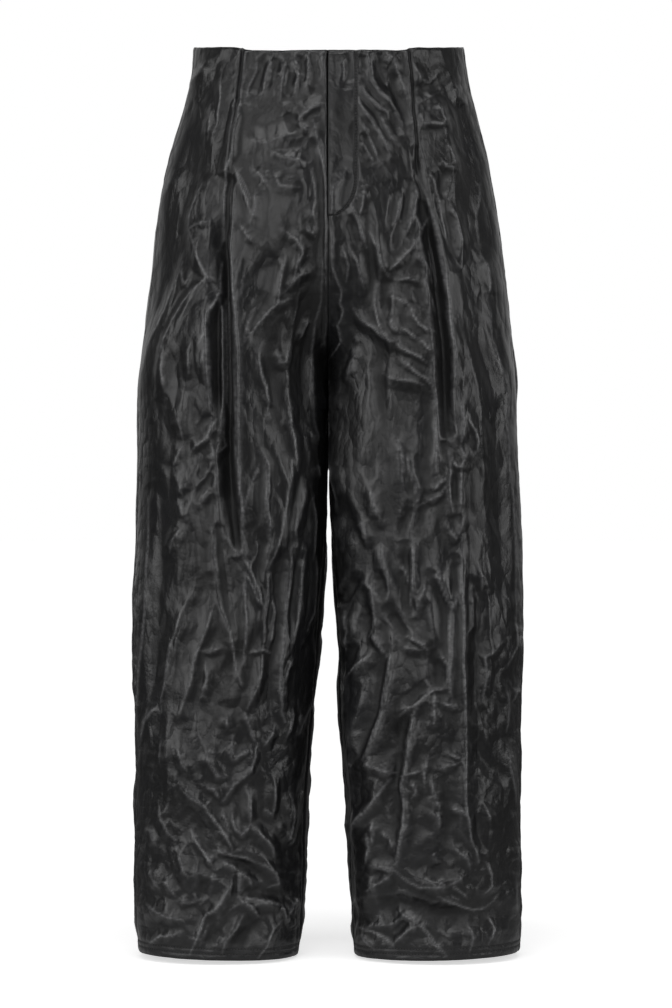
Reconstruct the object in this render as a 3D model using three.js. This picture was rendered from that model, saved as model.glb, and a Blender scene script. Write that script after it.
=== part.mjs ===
// Leather trousers, standing open as they do when worn, with no wearer inside.
// Four cut panels, a lapped fly and the zip behind it, each one a closed solid wall.
// Millimetres, +Z up, front towards -Y. The origin is the middle of the waist, where a waist holds the garment.
import * as THREE from 'three';

// Driving dimensions
const HOLD_DROP = 25;      // the waist it hangs from lies this far under the top edge at the side
const LENGTH = 1009;       // side length, top edge to hem
const CROTCH_DROP = 353;   // where the four panels meet
const RISE_CURVE = 150;    // height over which the legs run together into one trunk
const FRONT_DIP = 8;       // the top edge sinks this much from the side to the centre front
const TUCK_DIP = 5.5;      // and this much more where the tucks draw it down
const TUCK_DIP_WIDTH = 14;
const DIP_FADE = 130;      // the dip is evened out over this height
const HEM_TILT = 2;        // the hem is this much lower at the inside of the leg, and higher outside
const WALL = 1.4;          // leather with its backing
const TURNED_WALL = 2.6;   // leather turned under at the top edge and the hem
const TOP_TURN = 12;
const HEM_TURN = 28;
const SEAM_GAP = 0.3;
const SEAM_FORWARD = 20;   // side and inside-leg seams lie this far in front of the leg's middle
const LEG_BOX = 2.15;      // 2 is an ellipse, more is squarer
const TRUNK_BOX = 2.35;
const THIGH_FADE = 240;    // the two rounded thighs are lost in the trunk this far above the crotch
const INNER_SEAM_FADE = 150;
const CROTCH_EASE = 210;

// Levels down the side: half the width over both legs, half the gap between the legs beside each leg,
// and how far the front and the back stand out from the middle.
const SECTIONS = [
  { drop: 0, half: 152, gapRight: 0, gapLeft: 0, front: 96, back: 98 },
  { drop: 37, half: 157, gapRight: 0, gapLeft: 0, front: 99, back: 103 },
  { drop: 82, half: 168.5, gapRight: 0, gapLeft: 0, front: 104, back: 111 },
  { drop: 127, half: 180, gapRight: 0, gapLeft: 0, front: 108, back: 119 },
  { drop: 194, half: 192, gapRight: 0, gapLeft: 0, front: 112, back: 125 },
  { drop: 260, half: 200.5, gapRight: 0, gapLeft: 0, front: 112, back: 122 },
  { drop: 328, half: 207, gapRight: 0, gapLeft: 0, front: 109, back: 114 },
  { drop: 373, half: 211, gapRight: 0.6, gapLeft: 0.6, front: 106, back: 108 },
  { drop: 440, half: 213, gapRight: 1.2, gapLeft: 1.2, front: 102, back: 103 },
  { drop: 507, half: 215.5, gapRight: 2.8, gapLeft: 3, front: 99, back: 99 },
  { drop: 597, half: 217, gapRight: 7.5, gapLeft: 7.5, front: 96, back: 96 },
  { drop: 664, half: 216.5, gapRight: 12, gapLeft: 11.5, front: 94, back: 94 },
  { drop: 754, half: 215, gapRight: 18.5, gapLeft: 14.5, front: 92, back: 93 },
  { drop: 843, half: 215.5, gapRight: 25, gapLeft: 19.5, front: 90, back: 91 },
  { drop: 933, half: 215, gapRight: 27, gapLeft: 24, front: 87, back: 89 },
  { drop: 1009, half: 213, gapRight: 32, gapLeft: 28, front: 84, back: 86 },
];

// The stitched tuck and the pleat that opens under it, on the wearer's right and left front, as distance from
// the centre.
const PLEATS = [
  { drop: 0, right: 92, left: 85 },
  { drop: 84, right: 100, left: 92 },
  { drop: 150, right: 108, left: 98 },
  { drop: 182, right: 112, left: 105 },
  { drop: 236, right: 112, left: 117 },
  { drop: 305, right: 109, left: 127 },
  { drop: 370, right: 107, left: 132 },
  { drop: 440, right: 104, left: 136 },
  { drop: 510, right: 100, left: 140 },
  { drop: 575, right: 93, left: 142 },
  { drop: 640, right: 86, left: 143 },
  { drop: 1009, right: 86, left: 143 },
];

// Depth of the tuck and pleat down the leg, and how far its two lips stand up.
const PLEAT_FORM = [
  { drop: 0, trough: 1.6, lip: 0.6 },
  { drop: 132, trough: 2.2, lip: 0.8 },
  { drop: 190, trough: 9, lip: 3.4 },
  { drop: 330, trough: 10, lip: 4 },
  { drop: 460, trough: 6.5, lip: 3.2 },
  { drop: 600, trough: 0, lip: 0 },
  { drop: 1009, trough: 0, lip: 0 },
];
const PLEAT_TROUGH_WIDTH = 6.5;
const PLEAT_LIP_OFFSET = 13;
const PLEAT_LIP_WIDTH = 7;

// The largest folds, ridges (height over 0) and troughs (under 0), by their ends: distance from the centre and drop.
const FRONT_FOLDS_RIGHT = [
  { x0: 126, drop0: 272, x1: 178, drop1: 345, width: 14, height: 4 },
  { x0: 138, drop0: 312, x1: 176, drop1: 400, width: 14, height: -4 },
  { x0: 116, drop0: 410, x1: 150, drop1: 453, width: 12, height: 4 },
  { x0: 66, drop0: 285, x1: 40, drop1: 400, width: 15, height: -4 },
  { x0: 42, drop0: 459, x1: 69, drop1: 589, width: 12, height: 4.5 },
  { x0: 124, drop0: 556, x1: 106, drop1: 676, width: 12, height: -4.5 },
  { x0: 134, drop0: 616, x1: 169, drop1: 747, width: 15, height: 3.5 },
  { x0: 49, drop0: 573, x1: 57, drop1: 714, width: 11, height: -5 },
  { x0: 128, drop0: 620, x1: 96, drop1: 708, width: 12, height: 4 },
  { x0: 160, drop0: 822, x1: 104, drop1: 886, width: 12, height: 5 },
  { x0: 145, drop0: 850, x1: 110, drop1: 901, width: 14, height: -7 },
  { x0: 186, drop0: 834, x1: 154, drop1: 912, width: 12, height: 3.5 },
  { x0: 86, drop0: 823, x1: 60, drop1: 893, width: 12, height: 4.5 },
  { x0: 107, drop0: 929, x1: 139, drop1: 970, width: 12, height: 5 },
  { x0: 118, drop0: 918, x1: 158, drop1: 976, width: 14, height: -6 },
  { x0: 96, drop0: 938, x1: 42, drop1: 928, width: 12, height: -6 },
  { x0: 58, drop0: 948, x1: 98, drop1: 990, width: 14, height: -6 },
  { x0: 48, drop0: 960, x1: 72, drop1: 992, width: 11, height: 4.5 },
];
const FRONT_FOLDS_LEFT = [
  { x0: 67, drop0: 281, x1: 112, drop1: 322, width: 12, height: 4 },
  { x0: 46, drop0: 290, x1: 52, drop1: 388, width: 13, height: -4.5 },
  { x0: 26, drop0: 302, x1: 107, drop1: 360, width: 11, height: 3.5 },
  { x0: 178, drop0: 258, x1: 192, drop1: 486, width: 13, height: 3.5 },
  { x0: 160, drop0: 236, x1: 169, drop1: 464, width: 13, height: -4 },
  { x0: 76, drop0: 345, x1: 117, drop1: 458, width: 12, height: 4 },
  { x0: 77, drop0: 448, x1: 96, drop1: 505, width: 12, height: 4.5 },
  { x0: 115, drop0: 587, x1: 133, drop1: 690, width: 13, height: 4.5 },
  { x0: 162, drop0: 598, x1: 160, drop1: 768, width: 13, height: -4.5 },
  { x0: 65, drop0: 627, x1: 108, drop1: 668, width: 12, height: 4.5 },
  { x0: 60, drop0: 640, x1: 78, drop1: 674, width: 12, height: -4 },
  { x0: 68, drop0: 664, x1: 45, drop1: 785, width: 12, height: 4.5 },
  { x0: 79, drop0: 742, x1: 124, drop1: 708, width: 12, height: 4 },
  { x0: 89, drop0: 785, x1: 75, drop1: 906, width: 12, height: 4 },
  { x0: 147, drop0: 797, x1: 158, drop1: 895, width: 12, height: 4 },
  { x0: 52, drop0: 905, x1: 134, drop1: 925, width: 13, height: 6 },
  { x0: 46, drop0: 938, x1: 112, drop1: 945, width: 14, height: -7 },
  { x0: 115, drop0: 931, x1: 174, drop1: 950, width: 13, height: 5.5 },
  { x0: 122, drop0: 960, x1: 178, drop1: 960, width: 13, height: -5 },
];
const BACK_FOLDS_RIGHT = [
  { x0: 18, drop0: 262, x1: 96, drop1: 330, width: 15, height: 4 },
  { x0: 30, drop0: 318, x1: 116, drop1: 352, width: 14, height: -4.5 },
  { x0: 26, drop0: 372, x1: 104, drop1: 424, width: 14, height: 4 },
  { x0: 160, drop0: 230, x1: 176, drop1: 420, width: 15, height: -3.5 },
  { x0: 128, drop0: 440, x1: 96, drop1: 560, width: 14, height: 4 },
  { x0: 60, drop0: 520, x1: 72, drop1: 660, width: 14, height: -4 },
  { x0: 150, drop0: 560, x1: 100, drop1: 640, width: 14, height: 4.5 },
  { x0: 140, drop0: 618, x1: 92, drop1: 700, width: 14, height: -4.5 },
  { x0: 62, drop0: 700, x1: 120, drop1: 780, width: 14, height: 4 },
  { x0: 168, drop0: 720, x1: 172, drop1: 860, width: 14, height: -3.5 },
  { x0: 60, drop0: 872, x1: 150, drop1: 900, width: 14, height: 5 },
  { x0: 54, drop0: 908, x1: 146, drop1: 934, width: 14, height: -6 },
  { x0: 76, drop0: 950, x1: 168, drop1: 948, width: 13, height: 4.5 },
];
const BACK_FOLDS_LEFT = [
  { x0: 16, drop0: 276, x1: 104, drop1: 316, width: 15, height: 4 },
  { x0: 24, drop0: 330, x1: 98, drop1: 372, width: 14, height: -4.5 },
  { x0: 40, drop0: 392, x1: 118, drop1: 410, width: 14, height: 3.5 },
  { x0: 168, drop0: 260, x1: 158, drop1: 440, width: 15, height: -3.5 },
  { x0: 92, drop0: 450, x1: 122, drop1: 580, width: 14, height: 4 },
  { x0: 58, drop0: 560, x1: 50, drop1: 690, width: 14, height: -4 },
  { x0: 80, drop0: 604, x1: 156, drop1: 652, width: 14, height: 4.5 },
  { x0: 86, drop0: 650, x1: 150, drop1: 690, width: 14, height: -4.5 },
  { x0: 130, drop0: 716, x1: 76, drop1: 800, width: 14, height: 4 },
  { x0: 176, drop0: 740, x1: 166, drop1: 880, width: 14, height: -3.5 },
  { x0: 66, drop0: 852, x1: 140, drop1: 888, width: 14, height: 5 },
  { x0: 70, drop0: 894, x1: 158, drop1: 916, width: 14, height: -6 },
  { x0: 48, drop0: 944, x1: 128, drop1: 960, width: 13, height: 4.5 },
];

// Rows down the panels: close together at the crotch and the hem.
const ROW_DROPS = [
  0, 12, 32, 56, 82, 108, 132, 152, 172, 193, 214, 238, 262, 286, 308, 326, 340, 349, CROTCH_DROP,
  364, 382, 404, 428, 454, 482, 510, 538, 566, 594, 622, 650, 678, 706, 734, 762, 788, 812, 834, 855,
  875, 894, 912, 930, 948, 966, LENGTH - HEM_TURN, 998, LENGTH,
];
const PLEAT_COLUMN = 0.5;
const FRONT_COLUMNS = [
  0, 0.055, 0.11, 0.165, 0.215, 0.265, 0.315, 0.36, 0.4, 0.435, 0.458, 0.479, PLEAT_COLUMN,
  0.521, 0.542, 0.565, 0.6, 0.64, 0.685, 0.735, 0.785, 0.835, 0.89, 0.945, 1,
];
const BACK_COLUMN_COUNT = 15;

// Fly: the lap's edge lies just past the centre front, and its stitched side ends in a curve.
const FLY_EDGE = -1.6;
const FLY_WIDTH = 31;
const FLY_CURVE_START = 165;
const FLY_LENGTH = 203;
const FLY_TIP = 5;
const FLY_WALL = 2;
const FLY_COLUMNS = 5;
const FLY_DROPS = [-2.5, 12, 32, 56, 82, 108, 132, 152, 165, 176, 186, 194, 200, FLY_LENGTH];
const LAID_GAP = 0.9;      // a piece that lies on a panel clears its facets by this much

// Zip: two tapes and the closed chain behind the fly.
const ZIP_DROPS = [14, 32, 56, 82, 108, 132, 152, 172, 188];
const ZIP_EDGE = -9;
const ZIP_WIDTH = 30;
const ZIP_TAPE = 0.9;
const ZIP_CHAIN = 2.2;
const ZIP_CHAIN_MIDDLE = 0.5;
const ZIP_CHAIN_HALF = 0.1;

const smooth = (value) => {
  const s = Math.min(1, Math.max(0, value));
  return s * s * (3 - 2 * s);
};
const mix = (a, b, share) => a + (b - a) * share;

// A smooth curve through one column of a table, read at any drop.
function column(rows, name) {
  const slope = (i) => {
    const before = rows[Math.max(0, i - 1)];
    const after = rows[Math.min(rows.length - 1, i + 1)];
    return (after[name] - before[name]) / (after.drop - before.drop);
  };
  return (drop) => {
    const d = Math.min(rows.at(-1).drop, Math.max(rows[0].drop, drop));
    let i = 0;
    while (i < rows.length - 2 && rows[i + 1].drop < d) i += 1;
    const span = rows[i + 1].drop - rows[i].drop;
    const s = (d - rows[i].drop) / span;
    const s2 = s * s;
    const s3 = s2 * s;
    return rows[i][name] * (2 * s3 - 3 * s2 + 1) + slope(i) * span * (s3 - 2 * s2 + s)
      + rows[i + 1][name] * (3 * s2 - 2 * s3) + slope(i + 1) * span * (s3 - s2);
  };
}
const halfWidth = column(SECTIONS, 'half');
const gap = { right: column(SECTIONS, 'gapRight'), left: column(SECTIONS, 'gapLeft') };
const depth = { front: column(SECTIONS, 'front'), back: column(SECTIONS, 'back') };
const pleatPlace = { right: column(PLEATS, 'right'), left: column(PLEATS, 'left') };
const troughDepth = column(PLEAT_FORM, 'trough');
const lipHeight = column(PLEAT_FORM, 'lip');
const FOLDS = {
  front: { right: FRONT_FOLDS_RIGHT, left: FRONT_FOLDS_LEFT },
  back: { right: BACK_FOLDS_RIGHT, left: BACK_FOLDS_LEFT },
};

// Half height of a slightly squared ellipse, from 0 at either end to 1 in the middle.
const boxed = (place, squareness) => (1 - Math.min(1, Math.abs(place)) ** squareness) ** (1 / squareness);

// Half of the outline at one drop, as distance from the centre and depth. share is 0 at the side and 1 inside.
// Under the crotch this is one leg. Above it a valley between the thighs rises until it is the trunk's middle.
function outline(face, side, drop, share) {
  const half = halfWidth(drop);
  const inner = Math.max(SEAM_GAP / 2, gap[side](drop));
  const x = mix(half, inner, (1 - Math.cos(Math.PI * share)) / 2);
  const thigh = boxed((2 * x - half - inner) / (half - inner), LEG_BOX);
  const above = Math.max(0, CROTCH_DROP - drop);
  const thighShare = 1 - smooth(above / THIGH_FADE);
  const rise = Math.min(1, above / RISE_CURVE);
  const valley = Math.sqrt(1 - (1 - rise) ** 2) * boxed(x / half, TRUNK_BOX);
  const height = ((thigh * thighShare) ** 4 + valley ** 4) ** 0.25;
  return [x, depth[face](drop) * height];
}

// The share at which the front outline is a given depth in front of the middle, between two shares.
function shareAtDepth(side, drop, wanted, from, to) {
  let low = from;
  let high = to;
  for (let i = 0; i < 24; i += 1) {
    const middle = (low + high) / 2;
    if (outline('front', side, drop, middle)[1] < wanted) low = middle;
    else high = middle;
  }
  return (low + high) / 2;
}

// One panel's line at one drop, from the side seam to the centre or inside-leg seam, with its length so far.
const LINES = new Map();
function panelLine(face, side, drop) {
  const key = `${face} ${side} ${drop}`;
  if (!LINES.has(key)) LINES.set(key, measuredLine(face, side, drop));
  return LINES.get(key);
}
function measuredLine(face, side, drop) {
  const innerForward = SEAM_FORWARD * smooth((drop - CROTCH_DROP) / INNER_SEAM_FADE);
  const sideCut = shareAtDepth(side, drop, SEAM_FORWARD, 0, 0.5);
  const innerCut = innerForward > 0 ? shareAtDepth(side, drop, innerForward, 1, 0.5) : 1;
  const stretch = (way, from, to, steps) => Array.from({ length: steps + 1 }, (_, i) => {
    const [x, away] = outline(way, side, drop, mix(from, to, i / steps));
    return [x, way === 'front' ? -away : away];
  });
  const line = face === 'front'
    ? stretch('front', sideCut, innerCut, 150)
    : [
      ...stretch('front', sideCut, 0, 20).slice(0, -1),
      ...stretch('back', 0, 1, 150),
      ...(innerCut < 1 ? stretch('front', 1, innerCut, 20).slice(1) : []),
    ];
  const lengths = [0];
  for (let i = 1; i < line.length; i += 1) {
    lengths.push(lengths[i - 1] + Math.hypot(line[i][0] - line[i - 1][0], line[i][1] - line[i - 1][1]));
  }
  return { line, lengths };
}

// The plain outer surface of one panel, before pleats and folds. across runs from the side seam (0) to the
// centre or inside-leg seam (1). x is the distance from the centre, the same way for both legs.
function plainPoint(face, side, across, drop) {
  const { line, lengths } = panelLine(face, side, drop);
  const wanted = across * lengths.at(-1);
  let low = 0;
  let high = line.length - 1;
  while (high - low > 1) {
    const middle = (low + high) >> 1;
    if (lengths[middle] <= wanted) low = middle;
    else high = middle;
  }
  const share = (wanted - lengths[low]) / (lengths[high] - lengths[low]);
  const x = mix(line[low][0], line[high][0], share);
  const y = mix(line[low][1], line[high][1], share);
  const half = halfWidth(drop);
  const inner = gap[side](drop);
  const inFromTuck = (pleatPlace[side](0) - x) / TUCK_DIP_WIDTH + 0.5;
  const tuckDip = face === 'front' ? TUCK_DIP * smooth(inFromTuck) : 0;
  const roundDip = FRONT_DIP * Math.max(0, -y / depth.front(0));
  const dip = (roundDip + tuckDip) * (1 - smooth(drop / DIP_FADE)) ** 2;
  const underCrotch = smooth((drop - CROTCH_DROP) / (LENGTH - CROTCH_DROP));
  const tilt = HEM_TILT * (1 - 2 * (x - inner) / (half - inner)) * underCrotch;
  return new THREE.Vector3(x, y, HOLD_DROP - drop - dip - tilt);
}

function normalOf(pointAt, across, drop) {
  const stepAcross = 0.012;
  const stepDrop = 1.5;
  const alongPanel = pointAt(Math.min(1, across + stepAcross), drop)
    .sub(pointAt(Math.max(0, across - stepAcross), drop));
  const down = pointAt(across, Math.min(LENGTH, drop + stepDrop))
    .sub(pointAt(across, Math.max(0, drop - stepDrop)));
  return alongPanel.cross(down).normalize();
}

// Height of one fold at a place seen from the front or the back.
function foldHeight(fold, x, drop) {
  const runX = fold.x1 - fold.x0;
  const runDrop = fold.drop1 - fold.drop0;
  const along = ((x - fold.x0) * runX + (drop - fold.drop0) * runDrop) / (runX ** 2 + runDrop ** 2);
  const nearest = Math.min(1, Math.max(0, along));
  const away = Math.hypot(x - fold.x0 - runX * nearest, drop - fold.drop0 - runDrop * nearest);
  const fade = 0.45 + 0.55 * Math.sin(Math.PI * nearest);
  return fold.height * fade * Math.exp(-((away / fold.width) ** 2));
}

// The pleat's profile: a trough between two standing lips.
function pleatHeight(side, x, drop) {
  const away = x - pleatPlace[side](drop);
  const lip = (centre) => Math.exp(-(((away - centre) / PLEAT_LIP_WIDTH) ** 2));
  return lipHeight(drop) * (lip(PLEAT_LIP_OFFSET) + lip(-PLEAT_LIP_OFFSET))
    - troughDepth(drop) * Math.exp(-((away / PLEAT_TROUGH_WIDTH) ** 2));
}

// All relief of a panel, calm under the fly, at the top edge, at the hem and where the legs nearly touch.
function relief(face, side, x, drop) {
  const folds = FOLDS[face][side].reduce((sum, fold) => sum + foldHeight(fold, x, drop), 0);
  const pleat = face === 'front' ? pleatHeight(side, x, drop) : 0;
  const inner = smooth((x - gap[side](drop) - 2) / 24);
  const underFly = face === 'front' && drop < FLY_LENGTH ? smooth((x - FLY_WIDTH) / 12) : 1;
  const hem = 1 - 0.75 * smooth((drop - (LENGTH - 2 * HEM_TURN)) / (2 * HEM_TURN));
  return (folds * hem + pleat) * inner * underFly;
}

function outerPoint(face, side, across, drop) {
  const plain = plainPoint(face, side, across, drop);
  const outward = outwardNormal(face, side, across, drop, plainPoint);
  return plain.addScaledVector(outward, relief(face, side, plain.x, drop));
}

// Unit normal away from the hollow inside.
function outwardNormal(face, side, across, drop, surface) {
  const normal = normalOf((a, d) => surface(face, side, a, d), across, drop);
  return face === 'front' ? normal : normal.negate();
}

// The place across a front panel that lies at a given distance from the centre.
function acrossAt(side, x, drop) {
  const { line, lengths } = panelLine('front', side, drop);
  let i = 1;
  while (i < line.length - 1 && line[i][0] > x) i += 1;
  const share = Math.min(1, Math.max(0, (line[i - 1][0] - x) / (line[i - 1][0] - line[i][0])));
  return mix(lengths[i - 1], lengths[i], share) / lengths.at(-1);
}

// Where one column crosses one drop. Front columns follow the pleat, so that its edges stay crisp all the way
// down. Just over the crotch the line is suddenly shorter, and only the columns next to the centre give way.
function acrossOf(face, side, share, drop) {
  const line = lineStart(face, side, drop);
  if (share < line.share) return line.across * share / line.share;
  const part = (share - line.share) / (1 - line.share);
  if (drop >= CROTCH_DROP) return mix(line.across, 1, part);
  const atCrotch = lineStart(face, side, CROTCH_DROP);
  const shorter = Math.max(0.01, atCrotch.rest - line.rest);
  const steep = Math.min(8, 0.75 * atCrotch.rest / shorter);
  const power = mix(Math.max(1, steep), 1, smooth((CROTCH_DROP - drop) / CROTCH_EASE));
  const along = atCrotch.rest * part - shorter * part ** power;
  return line.across + along / line.whole;
}

// The column that stays put on a line, where it lies, and how much of the line is left beyond it.
function lineStart(face, side, drop) {
  const whole = panelLine(face, side, drop).lengths.at(-1);
  const across = face === 'front' ? acrossAt(side, pleatPlace[side](drop), drop) : 0;
  return { share: face === 'front' ? PLEAT_COLUMN : 0, across, whole, rest: whole * (1 - across) };
}

function wallAt(drop) {
  return drop <= TOP_TURN || drop >= LENGTH - HEM_TURN ? TURNED_WALL : WALL;
}

// A closed wall between two grids of points, outer and inner.
function closedWall(outer, inner, name, colour) {
  const rows = outer.length;
  const columns = outer[0].length;
  const points = [...outer.flat(), ...inner.flat()];
  const faces = [];
  const at = (layer, i, j) => layer * rows * columns + i * columns + j;
  const quad = (a, b, c, d) => faces.push(a, b, c, a, c, d);
  for (let i = 0; i < rows - 1; i += 1) {
    for (let j = 0; j < columns - 1; j += 1) {
      quad(at(0, i, j), at(0, i + 1, j), at(0, i + 1, j + 1), at(0, i, j + 1));
      quad(at(1, i, j), at(1, i, j + 1), at(1, i + 1, j + 1), at(1, i + 1, j));
    }
    quad(at(0, i, 0), at(1, i, 0), at(1, i + 1, 0), at(0, i + 1, 0));
    quad(at(0, i, columns - 1), at(0, i + 1, columns - 1), at(1, i + 1, columns - 1), at(1, i, columns - 1));
  }
  for (let j = 0; j < columns - 1; j += 1) {
    quad(at(0, 0, j), at(0, 0, j + 1), at(1, 0, j + 1), at(1, 0, j));
    quad(at(0, rows - 1, j), at(1, rows - 1, j), at(1, rows - 1, j + 1), at(0, rows - 1, j + 1));
  }
  if (volumeOf(points, faces) < 0) faces.reverse();
  const geometry = new THREE.BufferGeometry();
  geometry.setAttribute('position', new THREE.Float32BufferAttribute(points.flatMap((p) => p.toArray()), 3));
  geometry.setIndex(faces);
  geometry.computeVertexNormals();
  const mesh = new THREE.Mesh(geometry, new THREE.MeshStandardMaterial(colour));
  mesh.name = name;
  return mesh;
}

function volumeOf(points, faces) {
  let sum = 0;
  for (let i = 0; i < faces.length; i += 3) {
    sum += points[faces[i]].dot(points[faces[i + 1]].clone().cross(points[faces[i + 2]]));
  }
  return sum / 6;
}

// Turns a point measured from the centre into one on the wearer's right (-X) or left (+X).
const placed = (point, side) => (side === 'right' ? point.setX(-point.x) : point);

const LEATHER = { color: 0x1b1b1c, roughness: 0.45, metalness: 0 };

function panel(face, side) {
  const shares = face === 'front'
    ? FRONT_COLUMNS
    : Array.from({ length: BACK_COLUMN_COUNT }, (_, j) => j / (BACK_COLUMN_COUNT - 1));
  const outer = [];
  const inner = [];
  for (const drop of ROW_DROPS) {
    const row = shares.map((share) => acrossOf(face, side, share, drop));
    outer.push(row.map((across) => outerPoint(face, side, across, drop)));
    inner.push(row.map((across, j) => {
      const outward = outwardNormal(face, side, across, drop, outerPoint);
      return outer.at(-1)[j].clone().addScaledVector(outward, -wallAt(drop));
    }));
  }
  parted(outer, inner);
  return closedWall(
    outer.map((row) => row.map((p) => placed(p, side))),
    inner.map((row) => row.map((p) => placed(p, side))),
    `${face}_${side}`,
    LEATHER,
  );
}

// Draws the side edge and the inside-leg edge back by half the seam gap, and keeps each half on its own side.
function parted(outer, inner) {
  for (const grid of [outer, inner]) {
    for (const row of grid) {
      const last = row.length - 1;
      const sideStep = row[1].clone().sub(row[0]).setLength(SEAM_GAP / 2);
      const innerStep = row[last - 1].clone().sub(row[last]).setLength(SEAM_GAP / 2);
      row[0].add(sideStep);
      row[last].add(innerStep);
      for (const point of row) point.setX(Math.max(point.x, SEAM_GAP / 2));
    }
  }
}

// A point of the front, at a signed distance from the centre, moved out (or in, under 0) from the panels.
function onFront(x, drop, out) {
  const side = x < 0 ? 'right' : 'left';
  const across = acrossAt(side, Math.abs(x), drop);
  const outward = outwardNormal('front', side, across, drop, plainPoint);
  return placed(plainPoint('front', side, across, drop).addScaledVector(outward, out), side);
}

function flyReach(drop) {
  const s = Math.max(0, (drop - FLY_CURVE_START) / (FLY_LENGTH - FLY_CURVE_START));
  return Math.max(FLY_TIP, FLY_WIDTH * Math.sqrt(Math.max(0, 1 - s * s)));
}

function fly() {
  const grid = (out) => FLY_DROPS.map((drop) => Array.from({ length: FLY_COLUMNS }, (_, j) => {
    const x = mix(FLY_EDGE, flyReach(drop), j / (FLY_COLUMNS - 1));
    return onFront(x, drop, out);
  }));
  return closedWall(grid(LAID_GAP + FLY_WALL), grid(LAID_GAP), 'fly', LEATHER);
}

function zip() {
  const shares = [
    0, ZIP_CHAIN_MIDDLE - ZIP_CHAIN_HALF - 0.02, ZIP_CHAIN_MIDDLE - ZIP_CHAIN_HALF,
    ZIP_CHAIN_MIDDLE + ZIP_CHAIN_HALF, ZIP_CHAIN_MIDDLE + ZIP_CHAIN_HALF + 0.02, 1,
  ];
  const thinned = (drop) => Math.min(1, Math.max(0, (drop - TOP_TURN) / (ROW_DROPS[2] - TOP_TURN)));
  const near = (drop) => -(LAID_GAP + mix(TURNED_WALL, WALL, thinned(drop)));
  const thick = (share) => (Math.abs(share - ZIP_CHAIN_MIDDLE) <= ZIP_CHAIN_HALF + 1e-9 ? ZIP_CHAIN : ZIP_TAPE);
  const grid = (into) => ZIP_DROPS.map((drop) => shares.map((share) => (
    onFront(ZIP_EDGE + ZIP_WIDTH * share, drop, near(drop) - into(share))
  )));
  return closedWall(grid(() => 0), grid(thick), 'zip', { color: 0x101012, roughness: 0.6, metalness: 0.2 });
}

const trousers = new THREE.Group();
for (const face of ['front', 'back']) {
  for (const side of ['right', 'left']) trousers.add(panel(face, side));
}
trousers.add(fly());
trousers.add(zip());

export default trousers;
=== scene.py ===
# %% [markdown]
# # Leather trousers that stand open
# The real garment is sewn from two fronts, two backs, a lapped fly and a zip, in soft black leather that has been
# crumpled all over. It could be inflated from flat panels by cloth simulation, but then its outline and its creases
# would land anywhere. Here each panel is a fine grid laid on the same plain form as the CAD solid, and every crease is
# a height that moves the grid's points along their normals. Lengths are millimetres until a mesh is made.
# %% Load the frame
import math

import bpy
import numpy as np
from mathutils.geometry import delaunay_2d_cdt
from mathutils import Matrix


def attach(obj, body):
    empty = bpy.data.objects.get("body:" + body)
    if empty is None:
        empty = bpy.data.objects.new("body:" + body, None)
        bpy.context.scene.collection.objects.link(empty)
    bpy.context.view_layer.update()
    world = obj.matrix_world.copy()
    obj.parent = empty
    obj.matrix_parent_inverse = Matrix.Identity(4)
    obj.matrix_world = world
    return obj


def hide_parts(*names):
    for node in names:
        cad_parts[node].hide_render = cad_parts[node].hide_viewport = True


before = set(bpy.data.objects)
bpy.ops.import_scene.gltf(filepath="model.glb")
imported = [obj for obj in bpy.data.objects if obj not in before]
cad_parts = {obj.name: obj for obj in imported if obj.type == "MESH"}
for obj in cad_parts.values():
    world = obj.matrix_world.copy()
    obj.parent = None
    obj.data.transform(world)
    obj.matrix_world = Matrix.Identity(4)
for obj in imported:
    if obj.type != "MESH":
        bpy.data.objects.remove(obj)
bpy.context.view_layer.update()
MM = 0.001

# %% [markdown]
# ## The plain form
# A trouser leg is a tube, and a trunk is two tubes that have run together. The tables give, level by level, half the
# width, half the gap between the legs and how far front and back stand out. They are the sizes of the CAD solids, so
# the visible leather lies where the simple collision model is.
# %% Sizes of the cut
HOLD_DROP, LENGTH, CROTCH_DROP, RISE_CURVE = 25, 1009, 353, 150
SIDE_RISE, FRONT_DIP, TUCK_DIP, TUCK_DIP_WIDTH, DIP_FADE, HEM_TILT = 2.6, 10.2, 3.3, 22, 130, 2
WALL, TURNED_WALL, TOP_TURN, HEM_TURN, SEAM_GAP = 1.4, 2.6, 12, 28, 0.3
SEAM_FORWARD, INNER_SEAM_FADE, LEG_BOX, TRUNK_BOX = 20, 150, 2.15, 2.35
THIGH_FADE, CROTCH_EASE = 240, 210
SECTIONS = {
    "drop": [0, 37, 82, 127, 194, 260, 328, 373, 440, 507, 597, 664, 754, 843, 933, 1009],
    "half": [152, 157, 168.5, 180, 192, 200.5, 207, 211, 213, 215.5, 217, 216.5, 215, 215.5, 215, 213],
    "gap_right": [0, 0, 0, 0, 0, 0, 0, 0.6, 1.2, 2.8, 7.5, 12, 18.5, 25, 27, 32],
    "gap_left": [0, 0, 0, 0, 0, 0, 0, 0.6, 1.2, 3, 7.5, 11.5, 14.5, 19.5, 24, 28],
    "front": [96, 99, 104, 108, 112, 112, 109, 106, 102, 99, 96, 94, 92, 90, 87, 84],
    "back": [98, 103, 111, 119, 125, 122, 114, 108, 103, 99, 96, 94, 93, 91, 89, 86],
}
TUCKS = {
    "drop": [0, 84, 150, 182, 236, 305, 370, 440, 510, 575, 640, 1009],
    "right": [94, 101, 108, 112, 112, 109, 107, 104, 100, 93, 86, 86],
    "left": [89, 95.5, 100.5, 107, 118, 127, 132, 136, 140, 142, 143, 143],
}


def smooth(value):
    """0 below 0, 1 above 1, and an even curve between."""
    s = np.clip(value, 0, 1)
    return s * s * (3 - 2 * s)


def mix(a, b, share):
    return a + (b - a) * share


def eased(distance, reach, least=0.0):
    """Rises from least at distance 0 to 1 at reach."""
    return mix(least, 1, smooth(distance / reach))


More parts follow.
